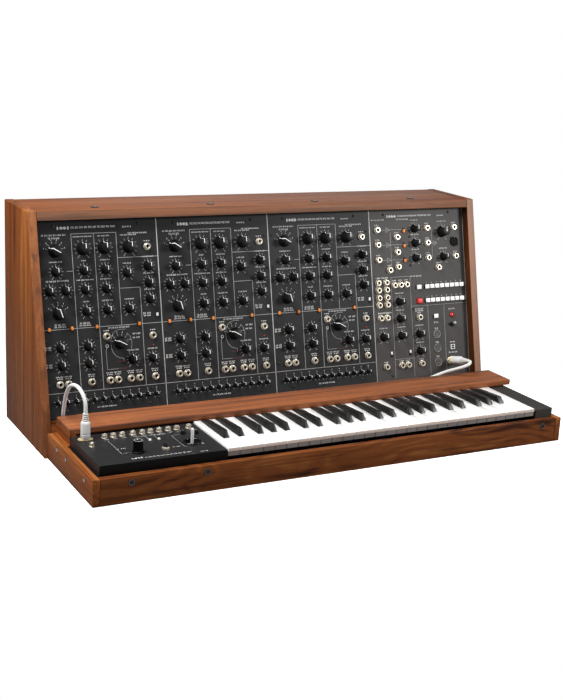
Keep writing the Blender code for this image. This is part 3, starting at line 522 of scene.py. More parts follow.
def walnut(name, grain, start, shade=1.0, arched=False, bloom=0.0, pale_front=0.0, dark_inside=0.0):
    """Walnut with its grain along X, Y or Z (0, 1 or 2).

    Some shows arches. A painted sheen can lift all its colours, a painted highlight can pale the faces
    toward the front, and painted shade can darken the faces toward the left.
    """

    def along(share):
        return tuple(share if axis == grain else 1.0 for axis in range(3))

    woods = (WALNUT_DARK, WALNUT_MIDDLE, WALNUT_LIGHT)
    # Painted sheen: an even amount is added to every colour of the board
    dark, middle, light = (tuple(part * shade + bloom for part in wood) for wood in woods)
    finish = Finish(name, middle, 0.5, Specular_IOR_Level=0.12)
    bands = finish.noise(9.0, 2.0, 0.5, 0.5, along(0.05), start)
    rings = finish.noise(46.0, 3.0, 0.6, 0.9, along(0.045), start)
    streaks = finish.noise(110.0, 2.0, 0.5, 0.6, along(0.018), start).step(0.53, 0.66)
    fibres = finish.noise(520.0, 3.0, 0.6, 0.0, along(0.02), start)
    pores = finish.noise(1000.0, 1.0, 0.5, 0.0, along(0.04), start).step(0.60, 0.70)
    streak = bands * 0.45 + rings * 0.40 + fibres * 0.15
    if arched:
        place = finish.node("ShaderNodeMapping", None, {"Vector": finish.place, "Scale": (1.9, 6.0, 14.0)})
        reach = finish.node("ShaderNodeVectorMath", {"operation": "LENGTH"}, {0: place}, "Value")
        wander = finish.noise(3.0, 2.0, 0.5, 0.0, (1.0, 1.0, 4.0), start)
        arches = finish.math("SINE", (reach + wander * 1.6) * 40.0)
        streak = streak + arches * 0.045
    stops = [(0.39, dark), (0.48, middle), (0.53, middle), (0.62, light)]
    tone = finish.node("ShaderNodeValToRGB", {"stops": stops}, {0: streak})
    lined = finish.mix(streaks * 0.55, tone, dark)
    end_grain = finish.math("ABSOLUTE", finish.facing(grain)).step(0.6, 0.85)
    pored = finish.mix(pores * 0.45, lined, dark)
    cut = finish.mix(end_grain * 0.15, pored, dark)
    # Painted highlight: faces toward the front are mixed towards a pale colour
    to_front = (0.0 - finish.facing(1)).step(0.6, 0.85)
    # Painted shade: faces toward the left are mixed towards near black
    to_left = (0.0 - finish.facing(0)).step(0.6, 0.85)
    highlighted = finish.mix(to_front * pale_front, cut, WALNUT_FRONT_HIGHLIGHT)
    finish.feed("Base Color", finish.mix(to_left * dark_inside, highlighted, WALNUT_INSIDE_SHADE))
    finish.feed("Roughness", fibres * 0.18 + 0.38 + pores * 0.15)
    finish.bump(fibres * 0.5 - pores, 0.0001, 0.7)
    return finish


# Local X, Y, Z become Y, Z, X: an outline in (y, z) becomes a board along X
SIDEWAYS = Matrix(((0, 0, 1, 0), (1, 0, 0, 0), (0, 1, 0, 0), (0, 0, 0, 1)))


def board(node, grain, start, shade=1.0, front_slope=0.0, back_slope=0.0, **looks):
    """A board that fills its node's box, with its front or back leaning as the cabinet's front does."""
    low, high = corners(node)
    rise = (high.z - low.z) * math.tan(LEAN)
    outline = (
        (low.y, low.z),
        (high.y - rise * back_slope, low.z),
        (high.y, high.z),
        (low.y + rise * front_slope, high.z),
    )
    piece = Piece(f"{node}_walnut", walnut(f"walnut_of_{node}", grain, start, shade, **looks))
    piece.add(prism(outline, low.x, high.x, EASED_EDGE, 3), WORLD @ SIDEWAYS)
    piece.done(FIXED, "walnut", node)


# Painted light on the boards: pale fronts are a painted highlight, and the right side's dark inner face is
# painted shade, as is its lower shade, which darkens the whole board. The lift on the top and the ledge is a
# painted sheen.
board("cabinet_side_left", 2, (0.3, 0.0, 0.0), 0.72, front_slope=1, pale_front=0.07)
board("cabinet_side_right", 2, (1.7, 0.4, 0.0), 0.62, front_slope=1, pale_front=0.34, dark_inside=0.72)
board("cabinet_top", 0, (0.0, 2.2, 0.6), 0.62, bloom=0.006, front_slope=1, pale_front=0.12)
board("cabinet_front_rail", 0, (0.0, 3.1, 0.2), 0.8, arched=True, front_slope=1, back_slope=1)
board("keyboard_front_rail", 0, (0.4, 4.3, 0.9), 0.6, arched=True)
board("keyboard_back_rail", 0, (0.0, 5.2, 0.3))
board("key_ledge", 0, (0.9, 6.4, 0.5), 0.95, bloom=0.02)
board("keyboard_side_left", 1, (7.2, 0.0, 0.4), 0.8)
board("keyboard_side_right", 1, (8.5, 0.0, 0.8), 0.8)


def ledge_lip():
    """A thin strip under the ledge's front edge, from the cheek to the right end."""
    low, high = corners("key_ledge")
    left = corners("ledge_cheek")[1].x + 0.3
    lip = Piece("key_ledge_lip", walnut("walnut_of_key_ledge_lip", 0, (0.9, 7.4, 0.5), 0.9))
    strip = block(high.x - left - 2.4, 4.6, -1.7, 0.4, 0.6)
    lip.add(strip, WORLD @ Matrix.Translation(((left + high.x) / 2, low.y + 2.6, low.z)))
    lip.done(FIXED, "walnut")


ledge_lip()


def wear(finish, *names):
    """Gives CAD nodes whose shape is right a finish of their own."""
    for name in names:
        mesh = nodes[name].data
        mesh.materials.clear()
        mesh.materials.append(finish.material)


wear(walnut("walnut_of_ledge_cheek", 1, (9.1, 0.0, 0.1)), "ledge_cheek")


# The fittings in the wood
# Nickel screws in dark cups: three in each of the keyboard unit's sides and four along the front of the
# cabinet's top. The fasteners in the front rail have a nickel ring round a dark middle.

# From the keyboard's front face and the floor
SIDE_SCREWS = ((189.8, 37.6), (141.0, 36.5), (42.5, 34.7))
# Along X, and up from the floor
RAIL_FASTENERS = ((-425.2, 36.8), (-284.8, 37.0), (453.0, 36.2))
TOP_SCREWS = (-359.2, -119.4, 117.3, 353.8)
TOP_SCREWS_FROM_FRONT = 389.0

black_steel = Finish("black_steel", (0.012, 0.012, 0.013), 0.35, 0.3)
black_steel.handled((0.02, 0.02, 0.02), 0.28, 0.42)
dull_ring = Finish("dull_ring", (0.16, 0.13, 0.12), 0.42, 0.5)
dull_ring.handled((0.11, 0.09, 0.08), 0.36, 0.52)


def wood_fittings():
    fittings = Piece("wood_screws", nickel, black_steel, dull_ring)
    case_right = corners("keyboard_side_right")[1].x
    top = corners("cabinet_top")[1].z
    leftwards, rightwards = (Matrix.Rotation(math.radians(turn), 4, "Y") for turn in (-90, 90))
    forwards = Matrix.Rotation(math.pi / 2, 4, "X")
    for y, z in SIDE_SCREWS:
        for x, turn in ((case_left, leftwards), (case_right, rightwards)):
            at = WORLD @ Matrix.Translation((x, keyboard_front + y, z)) @ turn
            fittings.add(collar(circle(5.4, 24), circle(3.8, 24), 0.0, 0.5, 0.15), at, 1)
            screw_head(fittings, at, 3.8)
    for x, z in RAIL_FASTENERS:
        at = WORLD @ Matrix.Translation((x, keyboard_front, z)) @ forwards
        fittings.add(collar(circle(6.4), circle(5.5), 0.0, 0.5, 0.2), at, 1)
        fittings.add(collar(circle(5.5), circle(4.4), 0.0, 0.8, 0.2), at, 2)
        fittings.add(turned([(0, 0.5), (3.2, 0.4), (4.45, 0.1), (4.45, 0.0), (0, 0.0)], 20), at, 1)
    for x in TOP_SCREWS:
        at = WORLD @ Matrix.Translation((x, keyboard_front + TOP_SCREWS_FROM_FRONT, top))
        fittings.add(collar(circle(7.6), circle(3.4), 0.0, 1.6, 0.6), at, 1)
        screw_head(fittings, at, 3.6)
    fittings.done(FIXED, "nickel")


wood_fittings()


# The module panels
# Steel sheet painted satin charcoal black, the fourth a shade lighter. Each has a pale bare edge where it
# meets the next, and black screws hold it to battens in the cabinet.

PANEL_TOP, PANEL_BOTTOM = 13.5, 385.0
EDGE_AT, EDGE_WIDE = 238.8, 1.7

panel_paint = Finish("panel_paint", (0.022, 0.022, 0.023), 0.42, Specular_IOR_Level=0.15)
panel_paint.handled((0.028, 0.028, 0.029), 0.38, 0.50, 3200.0, 0.00003)
last_panel_paint = Finish("last_panel_paint", (0.058, 0.054, 0.052), 0.42, Specular_IOR_Level=0.15)
last_panel_paint.handled((0.068, 0.063, 0.060), 0.38, 0.50, 3200.0, 0.00003)
bare_edge = Finish("bare_edge", (0.52, 0.52, 0.51), 0.5, 0.2)
bare_edge.handled((0.44, 0.44, 0.43), 0.42, 0.56)
wear(panel_paint, "module_1_panel", "module_2_panel", "module_3_panel")
wear(last_panel_paint, "module_4_panel")

SCREW_SPOTS = (
    (34.4, 27), (201.5, 27), (6.5, 59.6), (229.8, 59.6), (5.7, 124), (105.7, 124), (232, 124), (6, 237),
    (105.7, 237), (230, 237), (6, 320), (105.7, 320), (230, 320), (30.7, 342.5), (208.6, 342.5),
    (37.8, 370), (203.6, 370),
)
LAST_SCREW_SPOTS = ((34.4, 27), (201, 25), (98, 75), (97.3, 136), (99.4, 230), (99.4, 303), (37.8, 369))

for module in range(4):
    screws = Piece(f"module_{module + 1}_screws", black_steel, bare_edge)
    for spot in LAST_SCREW_SPOTS if module == 3 else SCREW_SPOTS:
        screw_head(screws, on_panel(module, *spot))
    wide = EDGE_WIDE if module < 3 else EDGE_WIDE / 2
    edge = block(wide, PANEL_BOTTOM - PANEL_TOP - 0.4, 0.02, 0.4, 0.15)
    screws.add(edge, on_panel(module, EDGE_AT, (PANEL_TOP + PANEL_BOTTOM) / 2), 1)
    screws.done(FIXED, "knob_black")


# The print on the panels
# Grey silk-screened lines part the panels into fields, and each knob has a ring of eleven grey marks. Plain
# white numbers stand in the headings, at the ends of the dials, and over the knobs, jacks and buttons.

INK_HIGH = 0.06
DIAL_SWEEP = 300.0
DIAL_MARKS = 11
MARK_WIDE = 0.6
ARC_WIDE = 0.5
NUMBER_SIZE = 3.4
LABEL_TALL = 2.4

ink = Finish("white_ink", (0.80, 0.80, 0.78), 0.6, Specular_IOR_Level=0.3)
ink.handled((0.70, 0.70, 0.68), 0.5, 0.7)
grey_ink = Finish("grey_ink", (0.50, 0.50, 0.49), 0.6, Specular_IOR_Level=0.3)
grey_ink.handled((0.42, 0.42, 0.41), 0.5, 0.7)
red_ink = Finish("red_ink", (0.25, 0.03, 0.02), 0.6, Specular_IOR_Level=0.3)
red_ink.handled((0.20, 0.025, 0.016), 0.5, 0.7)
number_meshes = {}


def stroke(piece, at, points, width=0.75, finish=0):
    """A printed line through points (x, distance down), each stretch a thin flat strip."""
    for (x0, v0), (x1, v1) in zip(points, points[1:]):
        run = Vector((x1 - x0, v0 - v1))
        strip = prism(square(run.length + width, width), 0.0, INK_HIGH)
        turn = Matrix.Rotation(math.atan2(run.y, run.x), 4, "Z")
        middle = Matrix.Translation(((x0 + x1) / 2, -(v0 + v1) / 2, 0))
        piece.add(strip, at @ middle @ turn, finish)


def dial(piece, at, inner, outer, sweep=DIAL_SWEEP, marks=DIAL_MARKS):
    """Marks like the rays of a clock round a knob, spread evenly about its top."""
    for i in range(marks):
        turn = Matrix.Rotation(math.radians(sweep * (0.5 - i / (marks - 1))), 4, "Z")
        spot = Matrix.Translation((0, (inner + outer) / 2, 0))
        piece.add(prism(square(MARK_WIDE, outer - inner), 0.0, INK_HIGH), at @ turn @ spot, 1)


def figures_of(value, weight=0.02):
    """The shape of a number, centred. Each is made once and used again."""
    if value not in number_meshes:
        figures = bpy.data.curves.new("number", "FONT")
        figures.body = str(value)
        figures.align_x = "CENTER"
        figures.align_y = "CENTER"
        figures.resolution_u = 1
        figures.extrude = 0.01
        figures.offset = weight
        sign = bpy.data.objects.new("number", figures)
        bpy.context.scene.collection.objects.link(sign)
        bpy.context.view_layer.update()
        number_meshes[value] = bpy.data.meshes.new_from_object(sign)
        bpy.data.objects.remove(sign)
        bpy.data.curves.remove(figures)
    shape = bmesh.new()
    shape.from_mesh(number_meshes[value])
    return shape


def number(piece, at, value, x=0.0, down=0.0, size=NUMBER_SIZE):
    piece.add(figures_of(value), at @ Matrix.Translation((x, -down, 0.03)) @ Matrix.Scale(size, 4))


def label(piece, at, first, x, down, wide, tall=LABEL_TALL, each=7.5, weight=0.02):
    """A row of numbers that rise by 100, so wide and so tall in all, each taking about so much of it."""
    row = figures_of(" ".join(str(first + 100 * i) for i in range(max(1, round(wide / each)))), weight)
    across = [vertex.co.x for vertex in row.verts]
    up = [vertex.co.y for vertex in row.verts]
    stretch = (wide / (max(across) - min(across)), tall / (max(up) - min(up)), 1.0, 1.0)
    piece.add(row, at @ Matrix.Translation((x, -down, 0.03)) @ Matrix.Diagonal(stretch))


def heading(piece, at, module):
    """A panel's heading: its own number, a row of numbers, and a short one."""
    label(piece, at, 1001 + module, 53.5, 31.0, 23.0, 6.6, 23.0, 0.06)
    label(piece, at, 101 + module, 112.0, 30.5, 86.0, 4.4, 8.6)
    label(piece, at, 2001 + module, 179.0, 32.0, 18.0, 3.0, 18.0)


def scale_numbers(piece, at, reach, above, wide):
    """0 and 10 at the ends of a dial, and a row of numbers over it."""
    for side, value in ((-1, 0), (1, 10)):
        number(piece, at, value, side * reach * 0.52, reach * 0.84, 2.8)
    if wide:
        label(piece, at, above, 0, -reach - 2.4, wide)


def spread_numbers(piece, at, reach, sweep, count):
    """1, 2, 3 and so on at a selector's marks."""
    for i in range(count):
        angle = math.radians(sweep * (i / (count - 1) - 0.5))
        number(piece, at, i + 1, reach * math.sin(angle), -reach * math.cos(angle))


LARGE_SPOTS = ((131, 70), (180.5, 70))
SMALL_SPOTS = (
    (35, 110.8), (20.5, 146.5), (51.5, 146.5), (89.5, 110.5), (89.5, 146.5), (89.5, 187), (131, 110.5),
    (131, 146.5), (131, 187), (174.5, 119), (174.5, 187), (217.5, 108), (217.5, 140), (217.5, 171),
    (34.5, 252.5), (34.5, 285), (88, 252.5), (88, 285), (175, 284.5), (215.5, 284.5),
)
LARGE_LABELS = (23, 32, 36)
SMALL_LABELS = (25, 0, 0, 9, 33, 12, 19, 22, 21, 16, 18, 22, 22, 22, 0, 0, 0, 0, 24, 20)
# A number, its place, and how wide it is
FIELD_LABELS = (
    (11, 34.5, 43.5, 46), (12, 34.5, 49.0, 21), (13, 36, 128.5, 43), (14, 199, 44.5, 38), (15, 36, 213.5, 22),
    (16, 84, 213.5, 22), (17, 150, 222, 42), (18, 116, 369, 38), (21, 36, 209.3, 20), (22, 84, 209.3, 20),
    (23, 209, 198.5, 16), (24, 209, 203, 14), (25, 9, 250.5, 14), (26, 9, 254.5, 14), (27, 9, 283, 14),
    (28, 9, 287, 14), (29, 185, 236, 16), (30, 184, 243.5, 14),
)
WAVE_AT = (34.5, 72.5)
FILTER_AT = (89.5, 70)
OCTAVE_AT = (34.5, 188.5)
MODE_AT = (151, 251.5)
JACK_SPOTS = (
    (217.5, 71), (28, 320.5), (44.5, 320.5), (89.5, 320.5), (124.5, 237), (126, 320.5), (142, 320.5),
    (168, 320.5), (185.3, 320.5), (218, 241.5), (218, 320.5),
)
MINI_SPOTS = [(22.5 + 17.8 * i, 354) for i in range(12)]
PANEL_WIDTH = 238.4
FIELD_LINES = (
    ((0.8, 217.9), (PANEL_WIDTH, 217.9)),
    ((0.8, 336.3), (PANEL_WIDTH, 336.3)),
    ((68.2, 336.3), (68.2, 42), (156.5, 42), (156.5, 217.9)),
    ((112.3, 42), (112.3, 336.3)),
    ((156.5, 90), (PANEL_WIDTH, 90)),
    ((156.5, 148), (198.2, 148), (198.2, 336.3)),
    ((68.2, 252.5), (72.5, 252.5)),
    ((68.2, 285), (72.5, 285)),
    ((56, 111), (68.2, 111)),
)
ARC_LINES = (
    ((124, 258), (122, 262), (122, 300), (144, 300)),
    ((156, 287), (156, 281), (149, 280), (142, 276.5), (136.5, 270), (133, 261), (132, 251), (133.5, 241),
     (137.5, 232.5), (144, 227.5), (152, 225.5), (163, 226)),
    ((167, 272), (171.5, 266), (174, 258), (174.5, 250), (172, 241), (166.5, 233.5)),
)
RED_LINES = (((146, 300), (167, 300)), ((143, 287), (153, 287)), ((158, 287), (165, 287)))
FIRST_CONTROL = 101
FIRST_JACK = 131

for module in range(3):
    at = on_panel(module, 0, 0)
    print_on = Piece(f"module_{module + 1}_print", ink, grey_ink, red_ink)
    for points in FIELD_LINES:
        stroke(print_on, at, points, finish=1)
    for finish, lines in ((1, ARC_LINES), (2, RED_LINES)):
        for points in lines:
            stroke(print_on, at, points, ARC_WIDE, finish)
    heading(print_on, at, module)
    for first, x, down, wide in FIELD_LABELS:
        label(print_on, at, first, x, down, wide, 3.0)
    for i, (spot, wide) in enumerate(zip((*LARGE_SPOTS, FILTER_AT), LARGE_LABELS)):
        dial(print_on, on_panel(module, *spot), 13.6, 18.0)
        scale_numbers(print_on, on_panel(module, *spot), 20.0, FIRST_CONTROL + i, wide)
    for i, (spot, wide) in enumerate(zip(SMALL_SPOTS, SMALL_LABELS)):
        dial(print_on, on_panel(module, *spot), 10.4, 14.0)
        scale_numbers(print_on, on_panel(module, *spot), 15.4, FIRST_CONTROL + 3 + i, wide)
    for spot in (WAVE_AT, MODE_AT):
        dial(print_on, on_panel(module, *spot), 14.0, 18.0, 150, 6)
        spread_numbers(print_on, on_panel(module, *spot), 20.8, 150, 6)
    dial(print_on, on_panel(module, *OCTAVE_AT), 14.0, 18.0, 120, 5)
    spread_numbers(print_on, on_panel(module, *OCTAVE_AT), 20.8, 120, 5)
    for i, spot in enumerate(MINI_SPOTS):
        dial(print_on, on_panel(module, *spot), 6.0, 8.6, 300, 5)
        number(print_on, on_panel(module, *spot), i + 1, down=-11.4, size=3.0)
    for i, spot in enumerate(JACK_SPOTS):
        label(print_on, on_panel(module, *spot), FIRST_JACK + i, 0, -10.6, 11.0, 2.2, 11.0)
        if spot[1] > 300:
            label(print_on, on_panel(module, *spot), FIRST_JACK + 100 + i, 0, -14.2, 14.0, 2.2, 7.0)
    print_on.done(FIXED, "button_white")


# The knobs
# Black moulded caps on a matte skirt, fluted for the grip, with a white line over the top and down the side
# and a short one on the skirt. Those that turn ride on their own bodies, and a module's others are one piece.

knob_plastic = Finish("knob_plastic", (0.004, 0.004, 0.004), 0.42, Specular_IOR_Level=0.3)
knob_plastic.handled((0.008, 0.008, 0.008), 0.36, 0.50, 2200.0, 0.00003)
skirt_black = Finish("skirt_black", (0.0018, 0.0018, 0.0018), 0.55, Specular_IOR_Level=0.08)
skirt_black.handled((0.003, 0.003, 0.003), 0.5, 0.62, 2200.0, 0.00003)
pointer_white = Finish("pointer_white", (0.95, 0.95, 0.93), 0.45)
pointer_white.handled((0.88, 0.88, 0.86), 0.4, 0.5)

LARGE = {"skirt": 12.2, "cap": 9.4, "height": 21.0, "flutes": 20, "pointer": 0.6, "pointer_from": -0.05}
SMALL = {"skirt": 9.2, "cap": 6.7, "height": 18.5, "flutes": 16, "pointer": 0.5, "pointer_from": -0.22}
SELECTOR = {"skirt": 12.0, "cap": 9.2, "height": 20.0, "flutes": 16, "pointer": 0.6, "pointer_from": -0.8}
TALL = {"skirt": 11.2, "cap": 9.0, "height": 22.0, "flutes": 20, "pointer": 0.6}
MINI = {"skirt": 5.0, "cap": 3.9, "height": 11.0, "flutes": 12, "pointer": 0.35, "pointer_from": -0.1}


def knob(piece, at, skirt, cap, height, flutes, pointer, pointer_from=0.18):
    """A fluted cap on a skirt and its shaft, with its pointer towards the top. Finish 2 is the skirt's."""
    lip = 3.0 if skirt > 6 else 1.9
    ledge = skirt - cap
    top = cap * 0.93
    grip = [
        (0, height + 0.15),
        (top - 1.2, height),
        (top - 0.35, height - 0.35),
        (top, height - 1.1),
        (top + 0.1, height - 1.6),
        (cap, lip + 0.6),
        (cap, lip - 0.6),
        (0, lip - 0.6),
    ]
    piece.add(turned(grip, flutes * 4, flutes, cap * 0.07, (4, 5)), at)
    flange = [
        (cap + ledge * 0.12, lip + 0.35),
        (cap + ledge * 0.35, lip),
        (skirt - ledge * 0.2, lip - 0.8),
        (skirt, lip - 1.3),
        (skirt, 0.3),
        (3.0, 0.3),
        (3.0, -8.0),
        (0, -8.0),
    ]
    piece.add(turned(flange, 36), at, 2)
    half = pointer
    line = (
        (cap * pointer_from, height + 0.3),
        (top - 1.2, height + 0.18),
        (top - 0.2, height - 0.2),
        (top + 0.15, height - 1.1),
        (cap + 0.12, lip + 2.0),
        (cap - 1.2, lip + 2.0),
        (cap * pointer_from, height - 1.0),
    )
    mark = (
        (cap + ledge * 0.3, lip + 0.1),
        (skirt - ledge * 0.2, lip - 0.65),
        (skirt + 0.12, lip - 1.25),
        (skirt + 0.12, 0.5),
        (cap, 0.5),
    )
    for outline in (line, mark):
        piece.add(prism(outline, -half, half), at @ SIDEWAYS, 1)


WAVE_POINTS = 58.0
MODE_POINTS = 60.0
OCTAVE_POINTS = 15.0

for module in range(3):
    unit = f"module_{module + 1}"
    fixed_knobs = Piece(f"{unit}_knobs", knob_plastic, pointer_white, skirt_black)
    for spot in LARGE_SPOTS:
        knob(fixed_knobs, on_panel(module, *spot), **LARGE)
    for spot in SMALL_SPOTS:
        knob(fixed_knobs, on_panel(module, *spot), **SMALL)
    for spot in MINI_SPOTS:
        knob(fixed_knobs, on_panel(module, *spot), **MINI)
    knob(fixed_knobs, on_panel(module, *OCTAVE_AT, spin=OCTAVE_POINTS), **SELECTOR)
    fixed_knobs.done(FIXED, "knob_black")
    for name, spot, spin, size in (
        ("wave_selector", WAVE_AT, WAVE_POINTS, SELECTOR),
        ("filter_knob", FILTER_AT, 0.0, LARGE),
        ("mode_selector", MODE_AT, MODE_POINTS, SELECTOR),
    ):
        node = f"{unit}_{name}"
        moving = Piece(f"{node}_cap", knob_plastic, pointer_white, skirt_black)
        knob(moving, on_panel(module, *spot, spin=spin), **size)
        moving.done(node, "knob_black", node)


# The jacks and small fittings of modules 1 to 3
# Nickel-plated collars with a 6.3 mm hole, black inside, on thin washers. A white slide switch stands at the
# right of each module, and on its middle line orange caps in dark slots. A red lamp has a ringed one by it.

JACK_RADIUS = 6.0
JACK_HIGH = 6.6
JACK_BORE = 3.4
SLIDE_AT = (229.5, 204)
ORANGE_AT = (13.8, 57.9, 106.3, 191.3)
ORANGE_DOWN = 219.0
ORANGE_SLOT = (5.8, 10.4)
LAMP_AT = (218, 260.5)
RING_AT = (124.5, 255.5)

jack_nickel = Finish("jack_nickel", (0.72, 0.66, 0.55), 0.34, 0.75)
jack_nickel.handled((0.62, 0.56, 0.45), 0.28, 0.42, 900.0, 0.00003)
hollow = Finish("hollow_black", (0.004, 0.004, 0.004), 0.8)
hollow.handled((0.006, 0.006, 0.006), 0.75, 0.9)
slide_white = Finish("slide_white", (0.92, 0.91, 0.89), 0.4)
slide_white.handled((0.86, 0.84, 0.81), 0.34, 0.48)
slide_orange = Finish("slide_orange", (0.90, 0.27, 0.03), 0.4)
slide_orange.handled((0.80, 0.22, 0.025), 0.34, 0.48)
lamp_red = Finish("lamp_red", (0.70, 0.025, 0.018), 0.15, Coat_Weight=0.6)
lamp_red.handled((0.58, 0.018, 0.014), 0.12, 0.22)


def jack(piece, at, radius=JACK_RADIUS, height=JACK_HIGH, bore=JACK_BORE):
    """A collar on its washer, hollow down to a black floor."""
    profile = [
        (bore, 0.6),
        (bore, height - 0.3),
        (bore + 0.35, height),
        (radius - 0.7, height),
        (radius - 0.15, height - 0.35),
        (radius, height - 1.0),
        (radius, 1.3),
        (radius + 0.25, 1.1),
        (radius + 1.1, 0.9),
        (radius + 1.2, 0.1),
        (bore, 0.1),
    ]
    piece.add(turned(profile, 28), at)
    piece.add(turned([(0, 1.2), (bore - 0.03, 1.2), (bore - 0.03, 0.2), (0, 0.2)], 20), at, 1)


def rocker(piece, at, finish, shift):
    """A round-topped cap in a dark slot, moved towards one end of it."""
    piece.add(block(*ORANGE_SLOT, 0.05, 0.7, 0.25), at, 1)
    piece.add(block(4.8, 7.0, 0.6, 4.6, 1.5, 4), at @ Matrix.Translation((0, shift, 0)), finish)


def slide(piece, at, width, height, bezel, cap):
    """A slide switch: a raised frame round a dark slot, and a ribbed cap in the slot's upper half."""
    piece.add(collar(square(width, height), square(width - 1.8, height - 1.8), 0.05, 0.9, 0.25), at, bezel)
    piece.add(block(width - 1.7, height - 1.7, 0.05, 0.35, 0.05), at, 1)
    inner = height - 2.2
    upper = at @ Matrix.Translation((0, inner * 0.2, 0))
    piece.add(block(width - 2.2, inner * 0.6, 0.3, 2.6, 0.3), upper, cap)
    for rib in (-1, 0, 1):
        ridge = upper @ Matrix.Translation((0, rib * inner * 0.18, 2.5))
        piece.add(block(width - 2.6, inner * 0.08, 0.0, 0.5, 0.12), ridge, cap)


for module in range(3):
    fittings = Piece(f"module_{module + 1}_jacks", jack_nickel, hollow, slide_white, slide_orange, lamp_red)
    for spot in JACK_SPOTS:
        jack(fittings, on_panel(module, *spot))
    slide(fittings, on_panel(module, *SLIDE_AT), 6.2, 12.6, 1, 2)
    for x in ORANGE_AT:
        rocker(fittings, on_panel(module, x, ORANGE_DOWN), 3, 1.6)
    lens = [(0, 1.6), (0.7, 1.4), (1.2, 0.9), (1.3, 0.4), (1.3, 0.1), (0, 0.1)]
    fittings.add(turned(lens, 20), on_panel(module, *LAMP_AT), 4)
    fittings.add(collar(circle(2.1, 20), circle(1.35, 20), 0.05, 0.5, 0.1), on_panel(module, *LAMP_AT), 1)
    fittings.add(collar(circle(3.0, 20), circle(2.3, 20), 0.02, 0.12, 0.0), on_panel(module, *RING_AT), 2)
    fittings.done(FIXED, "nickel")


# The keys
# Full-size keys: glossy white caps with a lip, on dark levers, and satin black ones between them that narrow
# upwards and slope at the front. The middle octave's keys move, and the others are two fixed runs.

ivory = Finish("ivory_white", (0.95, 0.935, 0.92), 0.18, Coat_Weight=0.3, Coat_Roughness=0.08)
ivory.handled((0.93, 0.905, 0.89), 0.14, 0.26, 40.0, 0.00004)
# Painted shade: the caps' front faces are painted a darker, warmer colour than their tops
lip = (0.0 - ivory.facing(1)).step(0.5, 0.9)
ivory.feed("Base Color", ivory.mix(lip, ivory.colour, (0.66, 0.55, 0.48)))
lever_grey = Finish("lever_grey", (0.24, 0.22, 0.21), 0.6)
lever_grey.handled((0.19, 0.175, 0.165), 0.5, 0.7)
ebony = Finish("ebony_black", (0.008, 0.008, 0.008), 0.34, Specular_IOR_Level=0.4)
ebony.handled((0.014, 0.013, 0.012), 0.28, 0.44, 1500.0, 0.00003)

WHITE_PITCH = 23.5
KEYS_LEFT = corners("key_c")[0].x - 0.5 - 14 * WHITE_PITCH
KEY_FRONT = keyboard_front + 18.2
KEY_TOP = corners("key_c")[1].z
KEY_LIP = 6.6
KEY_REAR = keyboard_front + 175.9
NOTCH = keyboard_front + 68.0
SLIT = 0.8
SHARP_HALF = 6.4
SHARP_CLEARANCE = 0.8
SHARP_FRONT = keyboard_front + 70.2
SHARP_BEND = keyboard_front + 150.0
SHARP_REAR = keyboard_front + 169.6
SHARP_TOP = 79.4
SHARP_BEND_TOP = 75.0
SHARP_REAR_TOP = 69.6
SHARP_FOOT = 64.0
SHARP_SLOPE = 11.0
SHARP_TAPER = 0.15
LEVER_FLOOR = 53.0
LEVER_INSET = 0.3
LEVER_REAR = keyboard_front + 234.0
SHARP_SHIFT = {0: -2.25, 1: 4.25, 3: -3.0, 4: 1.0, 5: 5.0}
NOTES = "cdefgab"


def white_key(piece, index):
    """One white key, counted from the lowest: its cap, notched for the black keys, and its lever."""
    left = KEYS_LEFT + index * WHITE_PITCH + SLIT / 2
    right = left + WHITE_PITCH - SLIT
    after = SHARP_SHIFT.get(index % 7) if index < 28 else None
    before = SHARP_SHIFT.get((index - 1) % 7) if index else None
    tail_left, tail_right = left, right
    outline = [(left, KEY_FRONT), (right, KEY_FRONT)]
    if after is not None:
        tail_right = right + SLIT / 2 + after - SHARP_HALF - SHARP_CLEARANCE
        outline += [(right, NOTCH), (tail_right, NOTCH)]
    if before is not None:
        tail_left = left - SLIT / 2 + before + SHARP_HALF + SHARP_CLEARANCE
    outline += [(tail_right, KEY_REAR), (tail_left, KEY_REAR)]
    if before is not None:
        outline += [(tail_left, NOTCH), (left, NOTCH)]
    piece.add(prism(outline, KEY_TOP - KEY_LIP, KEY_TOP, 0.55, 3))
    inner_left, inner_right = left + LEVER_INSET, right - LEVER_INSET
    lever = [(inner_left, KEY_FRONT + 1.5), (inner_right, KEY_FRONT + 1.5), (inner_right, NOTCH - 0.5)]
    lever += [(tail_right - 0.5, NOTCH - 0.5), (tail_right - 0.5, LEVER_REAR), (tail_left + 0.5, LEVER_REAR)]
    lever += [(tail_left + 0.5, NOTCH - 0.5), (inner_left, NOTCH - 0.5)]
    piece.add(prism(lever, LEVER_FLOOR, KEY_TOP - KEY_LIP + 0.1), finish=1)


